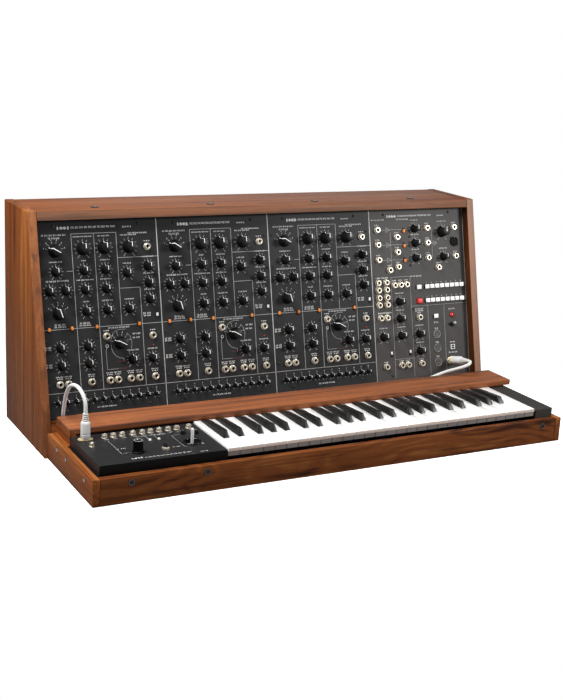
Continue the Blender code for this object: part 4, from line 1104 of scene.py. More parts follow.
def black_key(piece, index):
    """The black key on the right of a white key: narrower at the top, lower at the rear, sloping in front."""
    middle = KEYS_LEFT + (index + 1) * WHITE_PITCH + SHARP_SHIFT[index % 7]
    outline = (
        (SHARP_FRONT, SHARP_FOOT),
        (SHARP_REAR, SHARP_FOOT),
        (SHARP_REAR, SHARP_REAR_TOP),
        (SHARP_BEND, SHARP_BEND_TOP),
        (SHARP_FRONT + SHARP_SLOPE, SHARP_TOP),
    )
    shape = prism(outline, -SHARP_HALF, SHARP_HALF)
    for vertex in shape.verts:
        narrower = SHARP_TAPER * max(0.0, vertex.co.y - KEY_TOP)
        vertex.co.z *= 1 - narrower / SHARP_HALF
    round_edges(shape, 0.9, 3)
    piece.add(shape, WORLD @ SIDEWAYS @ Matrix.Translation((0, 0, middle)))
    lever = prism(square(8.0, LEVER_REAR - SHARP_FRONT - 2.0), LEVER_FLOOR, SHARP_FOOT + 0.6)
    piece.add(lever, WORLD @ Matrix.Translation((middle, (LEVER_REAR + SHARP_FRONT + 2.0) / 2, 0)), 1)


def key_run(name, node, indices):
    """A fixed run of keys: the white ones are one piece and the black ones another."""
    whites = Piece(f"{name}_white_keys", ivory, lever_grey)
    blacks = Piece(f"{name}_black_keys", ebony, lever_grey)
    for index in indices:
        white_key(whites, index)
        if index % 7 in SHARP_SHIFT and index + 1 in indices:
            black_key(blacks, index)
    whites.done(FIXED, "key_white", node)
    blacks.done(FIXED, "key_black")


key_run("lower", "lower_keys", range(14))
key_run("upper", "upper_keys", range(21, 29))
for step, note in enumerate(NOTES):
    node = f"key_{note}"
    key = Piece(f"{node}_cap", ivory, lever_grey)
    white_key(key, 14 + step)
    key.done(node, "key_white", node)
    if step in SHARP_SHIFT:
        node += "_sharp"
        key = Piece(f"{node}_cap", ebony, lever_grey)
        black_key(key, 14 + step)
        key.done(node, "key_black", node)


# The key bed and the end block
# A zinc-plated steel tray with a guide bar in front and a pivot bar behind, with a felt strip for each end of
# the keys' travel, and a matte dark block that fills the case from the top key to the right rail.

zinc = Finish("zinc", (0.46, 0.46, 0.47), 0.38, 1.0)
zinc.handled((0.40, 0.40, 0.42), 0.3, 0.48, 700.0, 0.00003)
felt = Finish("red_felt", (0.20, 0.015, 0.02), 0.95, Sheen_Weight=0.3)
felt.handled((0.15, 0.01, 0.015), 0.9, 1.0, 1200.0, 0.0003)
end_grey = Finish("end_grey", (0.036, 0.033, 0.030), 0.65, Specular_IOR_Level=0.2)
end_grey.handled((0.030, 0.028, 0.025), 0.6, 0.72, 900.0, 0.00006)
FELT_HIGH = 1.6
FELT_DEEP = 12.0
GUIDE_TOP = 41.0
GUIDE_WIDE = 8.0

wear(zinc, "key_bed")
wear(end_grey, "end_block")


def key_felts():
    low, high = corners("key_bed")
    middle, run = (low.x + high.x) / 2, high.x - low.x - 4
    felts = Piece("key_bed_felts", felt)
    for y, top, deep in ((low.y + GUIDE_WIDE / 2, GUIDE_TOP, 7.0), (low.y + 60, low.z + 2, FELT_DEEP)):
        at = WORLD @ Matrix.Translation((middle, y, top))
        felts.add(block(run, deep, 0.05, FELT_HIGH, 0.5), at)
    felts.done(FIXED, "knob_black")


key_felts()


# The fourth module's fittings
# Rows of jacks along signal lines, small knobs, two rows of eight white buttons, three round multi-pin
# sockets, a three-pin socket, a red lamp, slide switches, and a square port in a white frame.

LAST_JACKS = (
    [(17, v) for v in (58.3, 89.6, 121.7)]
    + [(65.3, v) for v in (75, 107, 138)]
    + [(142.8, v) for v in (58, 89.6, 121.7)]
    + [(x, v) for x in (12.8, 32.8) for v in (170, 185.4, 201.7, 217.1)]
    + [(x, 176.7) for x in (53.3, 68.3, 83.7)]
    + [(14.9, 245), (30.8, 245), (23.3, 349), (62, 349), (78.3, 349), (113.3, 349)]
    + [(43.7, 144), (213.3, 58.3), (215, 121.3), (168.3, 143.8), (113.3, 248.8)]
)
LAST_KNOBS = (
    (112, 58), (112, 88.9), (112, 120.8), (65, 212), (65, 248.3), (66, 284.6), (21, 284.6), (112, 284),
    (112, 320.8), (184, 121),
)
LAST_ORANGE = ((83.3, 61.4), (83.3, 92.7), (83.3, 124.3))
LAST_SLIDES = ((37.9, 322.7), (85.4, 322.7))
OUTPUT_AT = (182.5, OUTPUT_KNOB_DOWN)
BUTTON_ROWS = (183.5, 213.5)
BUTTON_FIRST, BUTTON_PITCH, BUTTON_COUNT = 136.0, 12.8, 8
BUTTON_WIDE, BUTTON_TALL = 10.2, 8.8
BUTTON_OUT = 5.0
WRITE_AT, STEP_AT, RESET_AT, TAP_AT = (114.9, 183.8), (136.0, 183.8), (116.0, 213.8), (155.0, 248.8)
DIN_SPOTS = ((156.5, 288.3), (156.5, 318.3), (156.5, 349.2))
THREE_PIN_AT = (213.6, 89.6)
LENS_AT = (198.6, 249.0)
TOGGLE_AT = (198.0, 269.0)
PORT_AT = (196.8, 318.8)
PORT_SIZE = 10.4
FLOW_LINES = (
    ((24, 59), (139, 59)),
    ((24, 91), (139, 91)),
    ((24, 123), (139, 123)),
    ((151, 91), (167, 91)),
    ((50, 65), (50, 140)),
    ((155.7, 58), (155.7, 122)),
    ((46.1, 159.6), (46.1, 375)),
    ((94.4, 159.6), (94.4, 375)),
    ((136.5, 225), (136.5, 375)),
    ((178.6, 225), (178.6, 375)),
    ((46.1, 159.6), (94.4, 159.6)),
    ((94.4, 224.2), (237, 224.2)),
    ((46.1, 335), (94.4, 335)),
)
AMPLIFIERS = ((45, 59), (45, 91), (45, 123), (165, 91))
LAST_LABELS = (
    (21, 20, 37.5, 32), (22, 82, 37.5, 30), (23, 110, 160, 28), (24, 26, 234, 34), (25, 26, 160, 26),
    (27, 114, 231, 22), (28, 114, 235, 20), (29, 156.5, 263, 12), (31, 156.5, 276, 8), (32, 156.5, 306, 8),
    (33, 156.5, 337, 8), (34, 196.8, 308.5, 13), (35, 196.8, 331, 22), (36, 198.6, 236, 16),
)

button_white = Finish("button_white", (0.93, 0.93, 0.91), 0.35)
button_white.handled((0.88, 0.87, 0.85), 0.28, 0.42)
button_red = Finish("button_red", (0.78, 0.04, 0.03), 0.35)
button_red.handled((0.68, 0.03, 0.022), 0.28, 0.42)
socket_grey = Finish("socket_grey", (0.060, 0.057, 0.055), 0.4)
socket_grey.handled((0.045, 0.043, 0.042), 0.34, 0.5)
grey_ring = Finish("grey_ring", (0.45, 0.45, 0.44), 0.4, 0.4)
grey_ring.handled((0.36, 0.36, 0.35), 0.34, 0.5)


def button_cap(piece, at, width, height, finish=0):
    """A cap with a dished top on a narrower black stem."""
    # The stem's black also paints shade into the gaps between the caps
    piece.add(block(width - 1.4, height - 1.4, -6.0, 3.0, 0.3), at, 1)
    piece.add(block(width, height, 2.7, BUTTON_OUT - 0.3, 0.5), at, finish)
    rim = collar(square(width - 1.0, height - 1.0), square(width - 2.6, height - 2.6), 4.3, 5.0, 0.3)
    piece.add(rim, at, finish)


def round_socket(piece, at, outer, inner, pins, pin_circle, pin):
    """A ring round a black insert with pin holes on part of a circle, and a key notch below."""
    piece.add(collar(circle(outer, 32), circle(inner, 32), 0.05, 1.8, 0.4), at, 0)
    insert = [(0, 0.9), (inner - 0.05, 0.9), (inner - 0.05, 0.05), (0, 0.05)]
    piece.add(turned(insert, 32), at, 1)
    for i in range(pins):
        angle = math.pi * i / (pins - 1)
        spot = Matrix.Translation((pin_circle * math.cos(angle), pin_circle * math.sin(angle), 0.9))
        piece.add(collar(circle(pin + 0.35, 12), circle(pin, 12), -0.05, 0.25, 0.0), at @ spot, 1)
        piece.add(turned([(0, 0.04), (pin, 0.04), (pin, -0.05), (0, -0.05)], 12), at @ spot, 2)
    piece.add(block(2.0, 1.6, 0.85, 1.5, 0.2), at @ Matrix.Translation((0, -inner + 0.9, 0)), 1)


def last_print():
    at = on_panel(3, 0, 0)
    print_on = Piece("module_4_print", ink, grey_ink)
    for points in FLOW_LINES:
        stroke(print_on, at, points, ARC_WIDE, 1)
    for x, v in AMPLIFIERS:
        stroke(print_on, at, ((x - 5, v - 5), (x + 4, v), (x - 5, v + 5), (x - 5, v - 5)), ARC_WIDE, 1)
    heading(print_on, at, 3)
    for first, x, down, wide in LAST_LABELS:
        label(print_on, at, first, x, down, wide, 2.8)
    for i, spot in enumerate(LAST_KNOBS):
        dial(print_on, on_panel(3, *spot), 10.4, 14.0)
        scale_numbers(print_on, on_panel(3, *spot), 15.4, FIRST_CONTROL + 60 + i, 20)
    dial(print_on, on_panel(3, *OUTPUT_AT), 13.6, 18.0)
    scale_numbers(print_on, on_panel(3, *OUTPUT_AT), 20.0, FIRST_CONTROL + 59, 24)
    for i, spot in enumerate(LAST_JACKS):
        label(print_on, on_panel(3, *spot), FIRST_CONTROL + 70 + i, 0, -9.8, 10.0, 2.0, 10.0)
    for row in BUTTON_ROWS:
        for i in range(BUTTON_COUNT):
            number(print_on, on_panel(3, BUTTON_FIRST + i * BUTTON_PITCH, row), i + 1, down=-8.0)
    print_on.done(FIXED, "button_white")


def last_fittings():
    """Everything on the fourth module that doesn't move."""
    jacks = Piece("module_4_jacks", jack_nickel, hollow, slide_white, slide_orange, knob_plastic)
    for spot in LAST_JACKS:
        jack(jacks, on_panel(3, *spot))
    for spot in LAST_ORANGE:
        rocker(jacks, on_panel(3, *spot), 3, -1.4)
    for spot in LAST_SLIDES:
        slide(jacks, on_panel(3, *spot), 5.8, 13.0, 1, 2)
    nut = prism(circle(6.6, 6), 0.05, 1.8, 0.3)
    jacks.add(nut, on_panel(3, *TOGGLE_AT), 4)
    jacks.add(collar(circle(4.2, 20), circle(3.4, 20), 1.5, 2.6, 0.2), on_panel(3, *TOGGLE_AT), 4)
    jacks.done(FIXED, "nickel")
    sockets = Piece("module_4_sockets", grey_ring, socket_grey, hollow, slide_white)
    for spot in DIN_SPOTS:
        round_socket(sockets, on_panel(3, *spot), 9.0, 8.3, 5, 4.6, 0.8)
    inner = PORT_SIZE - 2.2
    frame_of_port = collar(square(PORT_SIZE, PORT_SIZE), square(inner, inner), 0.05, 1.4, 0.2)
    sockets.add(frame_of_port, on_panel(3, *PORT_AT), 3)
    sockets.add(block(inner, inner, 0.05, 0.3, 0.0), on_panel(3, *PORT_AT), 2)
    sockets.add(block(inner * 0.4, 1.2, 0.2, 1.2, 0.2), on_panel(3, *PORT_AT), 3)
    sockets.done(FIXED, "nickel")
    three_pin = Piece("module_4_three_pin_socket", skirt_black, skirt_black, hollow, black_steel)
    round_socket(three_pin, on_panel(3, *THREE_PIN_AT), 10.4, 8.6, 3, 4.2, 1.4)
    three_pin.add(block(5.0, 3.4, 1.4, 2.6, 0.4), on_panel(3, THREE_PIN_AT[0], THREE_PIN_AT[1] - 9.2), 3)
    for side in (-1, 1):
        corner = on_panel(3, THREE_PIN_AT[0] + side * 8.6, THREE_PIN_AT[1] + side * 8.6)
        screw_head(three_pin, corner, 1.5, 3)
    three_pin.done(FIXED, "knob_black")
    knobs = Piece("module_4_knobs", knob_plastic, pointer_white, skirt_black)
    for spot in LAST_KNOBS:
        knob(knobs, on_panel(3, *spot), **SMALL)
    knobs.done(FIXED, "knob_black")
    buttons = Piece("module_4_buttons", button_white, hollow, lamp_red)
    for row in BUTTON_ROWS:
        for i in range(BUTTON_COUNT):
            at = on_panel(3, BUTTON_FIRST + i * BUTTON_PITCH, row)
            buttons.add(collar(square(13.2, 11.0), square(11.6, 9.6), 0.05, 0.6, 0.15), at, 1)
            if row != BUTTON_ROWS[0] or i:
                button_cap(buttons, at, BUTTON_WIDE, BUTTON_TALL)
    button_cap(buttons, on_panel(3, *TAP_AT), BUTTON_WIDE, BUTTON_TALL)
    lens = [(0, 3.6), (2.4, 3.2), (4.2, 2.2), (5.0, 0.9), (5.0, 0.05), (0, 0.05)]
    buttons.add(turned(lens, 24), on_panel(3, *LENS_AT), 2)
    buttons.add(collar(circle(6.0, 24), circle(5.05, 24), 0.05, 1.0, 0.3), on_panel(3, *LENS_AT), 1)
    buttons.done(FIXED, "button_white")


last_print()
last_fittings()


# The fourth module's moving controls
# The output knob, the write, step and reset buttons, and a small power toggle with a pale tip.

SWITCH_LEAN = 12.0
toggle_tip = Finish("toggle_tip", (0.42, 0.42, 0.41), 0.35, 0.3)
toggle_tip.handled((0.34, 0.33, 0.32), 0.3, 0.45)


def moving_controls():
    turning = Piece("output_knob_cap", knob_plastic, pointer_white, skirt_black)
    knob(turning, on_panel(3, *OUTPUT_AT), **LARGE)
    turning.done("output_knob", "knob_black", "output_knob")
    for node, spot, width, height, finish, slot in (
        ("write_button", WRITE_AT, 11.0, 9.0, button_white, "button_white"),
        ("step_button", STEP_AT, BUTTON_WIDE, BUTTON_TALL, button_white, "button_white"),
    ):
        cap = Piece(f"{node}_cap", finish, hollow)
        button_cap(cap, on_panel(3, *spot), width, height)
        cap.done(node, slot, node)
    reset = Piece("reset_button_cap", button_red)
    reset.add(block(11.6, 11.0, -6.0, BUTTON_OUT + 0.4, 2.2, 5), on_panel(3, *RESET_AT))
    reset.done("reset_button", "button_red", "reset_button")
    pivot = Vector(joints["power_switch_throw"]["pos_m"]) * 1000
    face = Matrix.Rotation(math.pi / 2 - LEAN - math.radians(SWITCH_LEAN), 4, "X")
    toggle = Piece("power_switch_lever", nickel, black_steel, toggle_tip)
    stem = [(0, 9.5), (1.8, 9.5), (2.3, 2.4), (2.8, 1.8), (3.1, 0.6), (3.1, -0.8), (1.8, -2.6), (0, -3.1)]
    tip = [(0, 15.4), (1.9, 15.1), (3.2, 14.0), (3.6, 12.4), (3.2, 10.4), (1.9, 9.2), (0, 9.2)]
    toggle.add(turned(stem, 20), WORLD @ Matrix.Translation(pivot) @ face, 1)
    toggle.add(turned(tip, 20), WORLD @ Matrix.Translation(pivot) @ face, 2)
    toggle.done("power_switch", "nickel", "power_switch")


moving_controls()


# The control panel
# A black satin cover with rounded bends at the left of the keys. It carries a row of ten jacks, a small jack,
# three lamps, two low knobs, a tall tuning knob, a button in a hex nut, and a joystick in a glossy ring.

COVER_BEND = 0.9
JACK_ROW_Y = 148.5
JACK_ROW = (-420.5, -404.0, -387.4, -367.0, -348.8, -333.2, -316.3, -298.5, -281.4, -258.1)
SMALL_JACK = (-456.3, 113.3)
COVER_LAMPS = ((-365.4, 109.0), (-349.4, 109.0), (-332.5, 109.0))
COVER_KNOBS = ((-280.3, 121.6), (-256.5, 115.6))
COVER_LINES = (
    ((-420.5, -131), (-420.5, -62), (-402, -62)),
    ((-288, -120), (-304, -120), (-304, -60), (-298, -60)),
    ((-366, -133), (-366, -115)),
    ((-366, -133), (-333, -133), (-333, -115)),
    ((-349.5, -133), (-349.5, -115)),
)
# A number, its place, how wide and tall it is, and how much of that each number in the row takes
COVER_LABELS = (
    (1005, -403.0, -33.0, 21.0, 4.6, 21.0), (31, -345.5, -32.0, 86.0, 3.2, 7.5),
    (2005, -280.0, -27.0, 14.0, 2.4, 14.0), (41, -413.0, -86.0, 18.0, 2.2, 9.0),
    (42, -318.0, -64.0, 14.0, 2.2, 7.0), (43, -275.0, -64.0, 22.0, 2.2, 7.5),
    (44, -322.0, -133.0, 24.0, 2.2, 8.0),
)
LOW_KNOB = {"skirt": 5.2, "cap": 4.4, "height": 6.5, "flutes": 10, "pointer": 0.45}
STICK_RADIUS = 2.8
STICK_TOP = 27.0
BEZEL_OUTER, BEZEL_INNER = 17.0, 14.0
TRUNNION = 1.4

cover_paint = Finish("cover_paint", (0.017, 0.017, 0.018), 0.38, Specular_IOR_Level=0.12)
cover_paint.handled((0.023, 0.023, 0.024), 0.34, 0.46, 3000.0, 0.00003)
# Painted shade: the cover's front face is painted darker than its top
front_shade_mask = (0.0 - cover_paint.facing(1)).step(0.5, 0.9)
cover_paint.feed("Base Color", cover_paint.mix(front_shade_mask, (0.020, 0.020, 0.021), (0.005, 0.005, 0.005)))
gloss_black = Finish("gloss_black", (0.006, 0.006, 0.006), 0.12, Coat_Weight=0.6)
gloss_black.handled((0.010, 0.010, 0.010), 0.08, 0.2, 200.0, 0.00002)
chrome = Finish("chrome", (0.92, 0.91, 0.89), 0.2, 0.35)
chrome.handled((0.86, 0.85, 0.83), 0.14, 0.28, 300.0, 0.00002)
lamp_clear = Finish("lamp_clear", (0.80, 0.78, 0.73), 0.2, Coat_Weight=0.5)
lamp_clear.handled((0.70, 0.67, 0.60), 0.15, 0.28)


def folded_cover():
    """The solid model's cover, with its long bends rounded."""
    mesh = nodes["control_panel"].data
    shape = bmesh.new()
    shape.from_mesh(mesh)
    shape.transform(nodes["control_panel"].matrix_world)
    shape.transform(Matrix.Scale(1000, 4))
    bmesh.ops.dissolve_limit(shape, angle_limit=0.02, verts=shape.verts[:], edges=shape.edges[:])
    shape.normal_update()
    front = keyboard_front + 18.3
    bends = []
    for edge in shape.edges:
        spots = [vertex.co for vertex in edge.verts]
        outer = all(spot.z > control_top - 0.05 for spot in spots) or all(spot.y < front for spot in spots)
        if outer and edge.calc_length() > 20 and edge.calc_face_angle(0) > 1.0:
            bends.append(edge)
    bmesh.ops.bevel(shape, geom=bends, offset=COVER_BEND, segments=4, profile=0.5, affect="EDGES")
    return shape


def control_fittings():
    cover = Piece("control_panel_cover", cover_paint)
    cover.add(folded_cover())
    cover.done(FIXED, "panel_black", "control_panel")
    fittings = Piece("control_panel_jacks", jack_nickel, hollow, lamp_clear)
    for x in JACK_ROW:
        jack(fittings, on_cover(x, JACK_ROW_Y), 5.0, 6.6, 2.6)
    jack(fittings, on_cover(*SMALL_JACK), 4.0, 7.5, 2.0)
    for spot in COVER_LAMPS:
        lens = [(0, 3.4), (1.3, 3.1), (2.3, 2.3), (2.6, 1.2), (2.6, 0.05), (0, 0.05)]
        fittings.add(turned(lens, 20), on_cover(*spot), 2)
        fittings.add(collar(circle(3.3, 20), circle(2.65, 20), 0.05, 0.9, 0.25), on_cover(*spot))
    latch = corners("latch_button")
    latch_at = ((latch[0].x + latch[1].x) / 2, (latch[0].y + latch[1].y) / 2 - keyboard_front)
    fittings.add(collar(circle(7.5, 6, 0.5), circle(4.5, 6, 0.5), 0.05, 4.6, 0.5), on_cover(*latch_at))
    fittings.add(collar(circle(5.4, 24), circle(4.5, 24), 0.3, 5.6, 0.2), on_cover(*latch_at))
    fittings.done(FIXED, "nickel")
    print_on = Piece("control_panel_print", ink, grey_ink)
    for points in COVER_LINES:
        stroke(print_on, on_cover(0, 0), points, ARC_WIDE, 1)
    for text in COVER_LABELS:
        label(print_on, on_cover(0, 0), *text)
    for i, x in enumerate(JACK_ROW):
        label(print_on, on_cover(x, JACK_ROW_Y), 201 + i, 0, 11.0, 8.0, 2.0, 8.0)
    print_on.done(FIXED, "button_white")
    knobs = Piece("control_panel_knobs", knob_plastic, pointer_white, skirt_black)
    for spot in COVER_KNOBS:
        knob(knobs, on_cover(*spot), **LOW_KNOB)
    knobs.done(FIXED, "knob_black")
    push = Piece("latch_button_cap", gloss_black)
    cap = [(0, 12.2), (2.6, 12.0), (3.7, 11.4), (4.2, 10.4), (4.2, 4.2), (3.9, 3.8), (3.9, -6.0), (0, -6.0)]
    push.add(turned(cap, 28), on_cover(*latch_at))
    push.done("latch_button", "knob_black", "latch_button")
    tall = corners("pitch_knob")
    tall_at = ((tall[0].x + tall[1].x) / 2, (tall[0].y + tall[1].y) / 2 - keyboard_front)
    tuning = Piece("pitch_knob_cap", skirt_black, pointer_white, skirt_black, chrome)
    knob(tuning, on_cover(*tall_at), **TALL)
    tuning.add(collar(circle(7.6, 40), circle(6.9, 40), 21.9, 22.35, 0.1), on_cover(*tall_at), 3)
    tuning.done("pitch_knob", "knob_black", "pitch_knob")


def joystick():
    """A chrome stick with a rounded top in its gimbal ring, under a glossy ring bezel."""
    pivot = Vector(joints["joystick_left_right"]["pos_m"]) * 1000
    at = WORLD @ Matrix.Translation(pivot)
    rise = control_top - pivot.z
    top = rise + STICK_TOP
    dome = [(STICK_RADIUS * math.sin(math.radians(a)), top - STICK_RADIUS * (1 - math.cos(math.radians(a))))
            for a in (0, 20, 40, 60, 80, 90)]
    stick = Piece("joystick_stick", chrome, black_steel)
    lower = [(STICK_RADIUS, 3.0), (4.2, 2.6), (4.8, 1.8), (4.8, -1.8), (4.2, -2.5), (0, -2.5)]
    stick.add(turned([*dome, *lower], 28), at)
    along_y = Matrix.Rotation(math.pi / 2, 4, "X")
    stick.add(turned([(0, 6.9), (TRUNNION, 6.9), (TRUNNION, -6.9), (0, -6.9)], 16), at @ along_y, 1)
    stick.done("joystick", "nickel", "joystick")
    gimbal = Piece("joystick_gimbal_ring", black_steel, zinc)
    gimbal.add(collar(circle(11.0, 40), circle(7.5, 40), -2.5, 2.5, 0.5), at)
    along_x = Matrix.Rotation(math.pi / 2, 4, "Y")
    for side in (-1, 1):
        pin = turned([(0, 3.5), (TRUNNION, 3.5), (TRUNNION, 0), (0, 0)], 16)
        spot = Matrix.Translation((10.8 if side > 0 else -14.3, 0, 0))
        gimbal.add(pin, at @ spot @ along_x, 1)
    gimbal.done("joystick_gimbal", "steel", "joystick_gimbal")
    bezel = Piece("joystick_bezel", gloss_black)
    spot = (pivot.x, pivot.y - keyboard_front)
    bezel.add(collar(circle(BEZEL_OUTER, 48), circle(BEZEL_INNER, 48), 0.05, 2.6, 0.9, 4), on_cover(*spot))
    bezel.done(FIXED, "knob_black")


control_fittings()
joystick()
for mesh in number_meshes.values():
    bpy.data.meshes.remove(mesh)


# The back, the bases and the mains inlet
# Fibreboard stained black. Screws hold the thin back panel round its edge, and the inlet is a black moulding
# with three flat pins, held by two screws.

BACK_SCREW_INSET = 10.0
BACK_SCREWS_ACROSS, BACK_SCREWS_UP = 6, 4
INLET_FLANGE = (40.0, 32.0, 3.0)
INLET_BODY = (28.0, 20.0, 20.0)
INLET_HOLE = (24.0, 16.0)
INLET_PINS = ((-7.0, 1.5), (0.0, -2.5), (7.0, 1.5))

fibreboard = Finish("stained_fibreboard", (0.030, 0.027, 0.025), 0.75, Specular_IOR_Level=0.3)
speckle = fibreboard.noise(700.0, 3.0, 0.6)
cloud = fibreboard.noise(5.0, 4.0, 0.6)
chips = fibreboard.mix(speckle.step(0.4, 0.7), (0.022, 0.020, 0.018), (0.048, 0.042, 0.038))
fibreboard.feed("Base Color", chips)
fibreboard.feed("Roughness", cloud * 0.2 + 0.62)
fibreboard.bump(speckle, 0.00015, 0.7)
wear(fibreboard, "cabinet_back", "cabinet_base", "keyboard_base")


def back_fittings():
    low, high = corners("cabinet_back")
    backwards = Matrix.Rotation(-math.pi / 2, 4, "X")
    left, right = low.x + BACK_SCREW_INSET, high.x - BACK_SCREW_INSET
    bottom, top = low.z + BACK_SCREW_INSET, high.z - BACK_SCREW_INSET
    spots = []
    for i in range(BACK_SCREWS_ACROSS):
        x = left + (right - left) * i / (BACK_SCREWS_ACROSS - 1)
        spots += [(x, bottom), (x, top)]
    for i in range(1, BACK_SCREWS_UP - 1):
        z = bottom + (top - bottom) * i / (BACK_SCREWS_UP - 1)
        spots += [(left, z), (right, z)]
    screws = Piece("cabinet_back_screws", nickel)
    for x, z in spots:
        screw_head(screws, WORLD @ Matrix.Translation((x, high.y, z)) @ backwards, 3.2)
    screws.done(FIXED, "nickel")
    low, inlet_high = corners("mains_inlet")
    middle = ((low.x + inlet_high.x) / 2, high.y, (low.z + inlet_high.z) / 2)
    at = WORLD @ Matrix.Translation(middle) @ backwards
    inlet = Piece("mains_inlet_moulding", knob_plastic, nickel)
    width, height, thick = INLET_FLANGE
    inlet.add(collar(square(width, height), square(*INLET_HOLE), 0.3, thick, 0.8, 3), at)
    body_width, body_height, deep = INLET_BODY
    inlet.add(collar(square(body_width, body_height), square(*INLET_HOLE), -deep, 0.6, 0.0), at)
    inlet.add(block(body_width, body_height, -deep, -deep + 2, 0.4), at)
    for x, y in INLET_PINS:
        inlet.add(block(2.0, 5.0, -deep + 1, -3.0, 0.5), at @ Matrix.Translation((x, y, 0)), 1)
    for side in (-1, 1):
        screw_head(inlet, at @ Matrix.Translation((side * 16.0, 0, thick)), 2.4, 1)
    inlet.done(FIXED, "knob_black", "mains_inlet")


back_fittings()


# Inside the cabinet
# A green circuit board stands on its edge behind the panels, with rows of chips and capacitors, and a power
# transformer with a laminated core stands on the base board behind it.

CHIP_ROWS, CHIP_COLUMNS = 5, 16
CHIP = (7.0, 19.0, 3.6)
CAPACITOR = (4.2, 12.0)

circuit_green = Finish("circuit_green", (0.016, 0.10, 0.040), 0.35, Coat_Weight=0.3)
tracks = circuit_green.node("ShaderNodeTexBrick", None, {
    "Vector": circuit_green.place, "Scale": 160.0, "Mortar Size": 0.03, "Mortar": (0.03, 0.18, 0.07, 1),
    "Color1": (0.012, 0.085, 0.034, 1), "Color2": (0.018, 0.11, 0.045, 1),
})
circuit_green.feed("Base Color", tracks)
circuit_green.feed("Roughness", circuit_green.noise(30.0, 3.0) * 0.2 + 0.25)
wear(circuit_green, "circuit_board")
laminated = Finish("laminated_steel", (0.24, 0.23, 0.22), 0.45, 0.9)
plates = {"Vector": laminated.place, "Scale": 300.0}
layers = laminated.node("ShaderNodeTexWave", {"bands_direction": "Y"}, plates)
laminated.feed("Roughness", laminated.noise(60.0, 3.0) * 0.3 + 0.3)
laminated.bump(layers, 0.0002, 0.8)
coil_tape = Finish("coil_tape", (0.62, 0.42, 0.09), 0.4)
coil_tape.handled((0.52, 0.34, 0.07), 0.32, 0.5, 400.0, 0.0001)


def inside():
    low, high = corners("circuit_board")
    backwards = Matrix.Rotation(-math.pi / 2, 4, "X")
    parts = Piece("circuit_board_parts", knob_plastic, nickel, coil_tape)
    for column in range(CHIP_COLUMNS):
        x = low.x + (high.x - low.x) * (column + 0.5) / CHIP_COLUMNS
        for row in range(CHIP_ROWS):
            z = low.z + (high.z - low.z) * (row + 0.5) / CHIP_ROWS
            at = WORLD @ Matrix.Translation((x, high.y, z)) @ backwards
            parts.add(block(*CHIP[:2], 0.6, CHIP[2], 0.4), at)
            for side in (-1, 1):
                legs = at @ Matrix.Translation((side * (CHIP[0] / 2 + 0.4), 0, 0))
                parts.add(block(0.7, CHIP[1] - 1.5, 0.05, 2.0, 0.1), legs, 1)
            if (row + column) % 2:
                radius, tall = CAPACITOR
                can = [(0, tall), (radius - 0.6, tall), (radius, tall - 0.6), (radius, 0.1), (0, 0.1)]
                parts.add(turned(can, 20), at @ Matrix.Translation((13.0, 4.0, 0)), 2)
    parts.done(FIXED, "circuit_green")
    low, high = corners("power_transformer")
    width, deep, tall = high - low
    middle = (low + high) / 2
    at = WORLD @ Matrix.Translation(middle) @ backwards
    core = Piece("power_transformer_core", laminated, coil_tape, zinc)
    core.add(block(width - 1, tall, -deep * 0.28, deep * 0.28, 0.6), at)
    core.add(block(width * 0.62, tall * 0.66, -deep / 2, deep / 2, 7.0, 4), at, 1)
    for x in (-1, 1):
        bracket = at @ Matrix.Translation((x * (width / 2 - 3.5), 0, 0))
        core.add(block(7.0, tall * 0.98, -deep * 0.30, deep * 0.30, 0.8), bracket, 2)
        for y in (-1, 1):
            spot = Matrix.Translation((x * (width / 2 - 5), y * (tall / 2 - 6), deep * 0.30))
            screw_head(core, at @ spot, 2.6, 2)
    core.done(FIXED, "steel", "power_transformer")


inside()


# The studio
# A plain white floor that keeps the object's shadow, a white background, a large lamp above on the left, a
# small one near on the right, which throws the knobs' shadows to the left, and a broad one low behind.

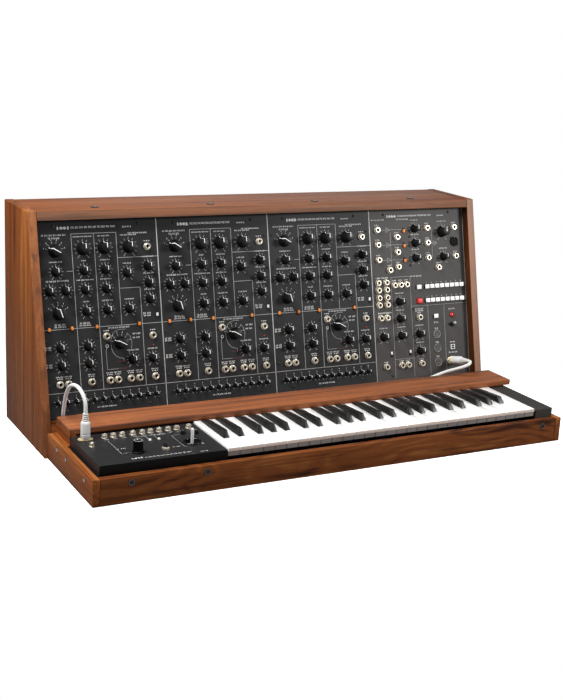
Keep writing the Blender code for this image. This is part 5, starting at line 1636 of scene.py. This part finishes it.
FLOOR_WHITE = (0.95, 0.95, 0.95)
FLOOR_SEEN_BY_OBJECT = (0.22, 0.22, 0.22)
FLOOR_GLOW = 0.72
PURE_WHITE_FROM, PURE_WHITE_AT = 0.52, 0.90
SKY = 0.20
LAMPS = (
    ("upper_left_lamp", 53.0, 1.0, (-1000, -180, 1700)),
    ("right_lamp", 22.0, 0.4, (1400, -1250, 950)),
    ("rear_lamp", 6.0, 1.6, (900, 1900, 1300)),
)


def studio():
    bpy.ops.mesh.primitive_plane_add(size=60)
    floor = bpy.context.object
    floor.name = "floor"
    paint = Finish("floor_white", FLOOR_WHITE, 0.9, Specular_IOR_Level=0.2)
    seen = paint.node("ShaderNodeLightPath", output="Is Camera Ray")
    paint.feed("Base Color", paint.mix(seen, FLOOR_SEEN_BY_OBJECT, FLOOR_WHITE))
    paint.feed("Emission Color", paint.mix(seen, (0.0, 0.0, 0.0), (1.0, 1.0, 1.0)))
    paint.shader.inputs["Emission Strength"].default_value = FLOOR_GLOW
    away = paint.node("ShaderNodeVectorMath", {"operation": "LENGTH"}, {0: paint.place}, "Value")
    plain = paint.node("ShaderNodeEmission", None, {"Color": (1, 1, 1, 1), "Strength": 1.0})
    share = seen * away.step(PURE_WHITE_FROM, PURE_WHITE_AT)
    lit = Shade(paint, paint.shader.outputs[0])
    blend = paint.node("ShaderNodeMixShader", None, {0: share, 1: lit, 2: plain})
    paint.tree.links.new(blend.socket, paint.tree.nodes["Material Output"].inputs["Surface"])
    floor.data.materials.append(paint.material)
    world = bpy.data.worlds.new("studio_white")
    bpy.context.scene.world = world
    world.use_nodes = True
    tree = world.node_tree
    rays = tree.nodes.new("ShaderNodeLightPath")
    mixed = tree.nodes.new("ShaderNodeMix")
    mixed.data_type = "RGBA"
    mixed.inputs[6].default_value = (SKY, SKY, SKY, 1)
    mixed.inputs[7].default_value = (1, 1, 1, 1)
    tree.links.new(rays.outputs["Is Camera Ray"], mixed.inputs[0])
    tree.links.new(mixed.outputs[2], tree.nodes["Background"].inputs["Color"])
    for name, power, size, at in LAMPS:
        light = bpy.data.lights.new(name, "AREA")
        light.energy = power
        light.size = size
        lamp = bpy.data.objects.new(name, light)
        lamp.location = WORLD @ Vector(at)
        lamp.rotation_euler = (Vector((0, 0, 0.15)) - lamp.location).to_track_quat("-Z", "Y").to_euler()
        bpy.context.scene.collection.objects.link(lamp)
    bpy.context.scene.view_settings.view_transform = "Standard"


studio()
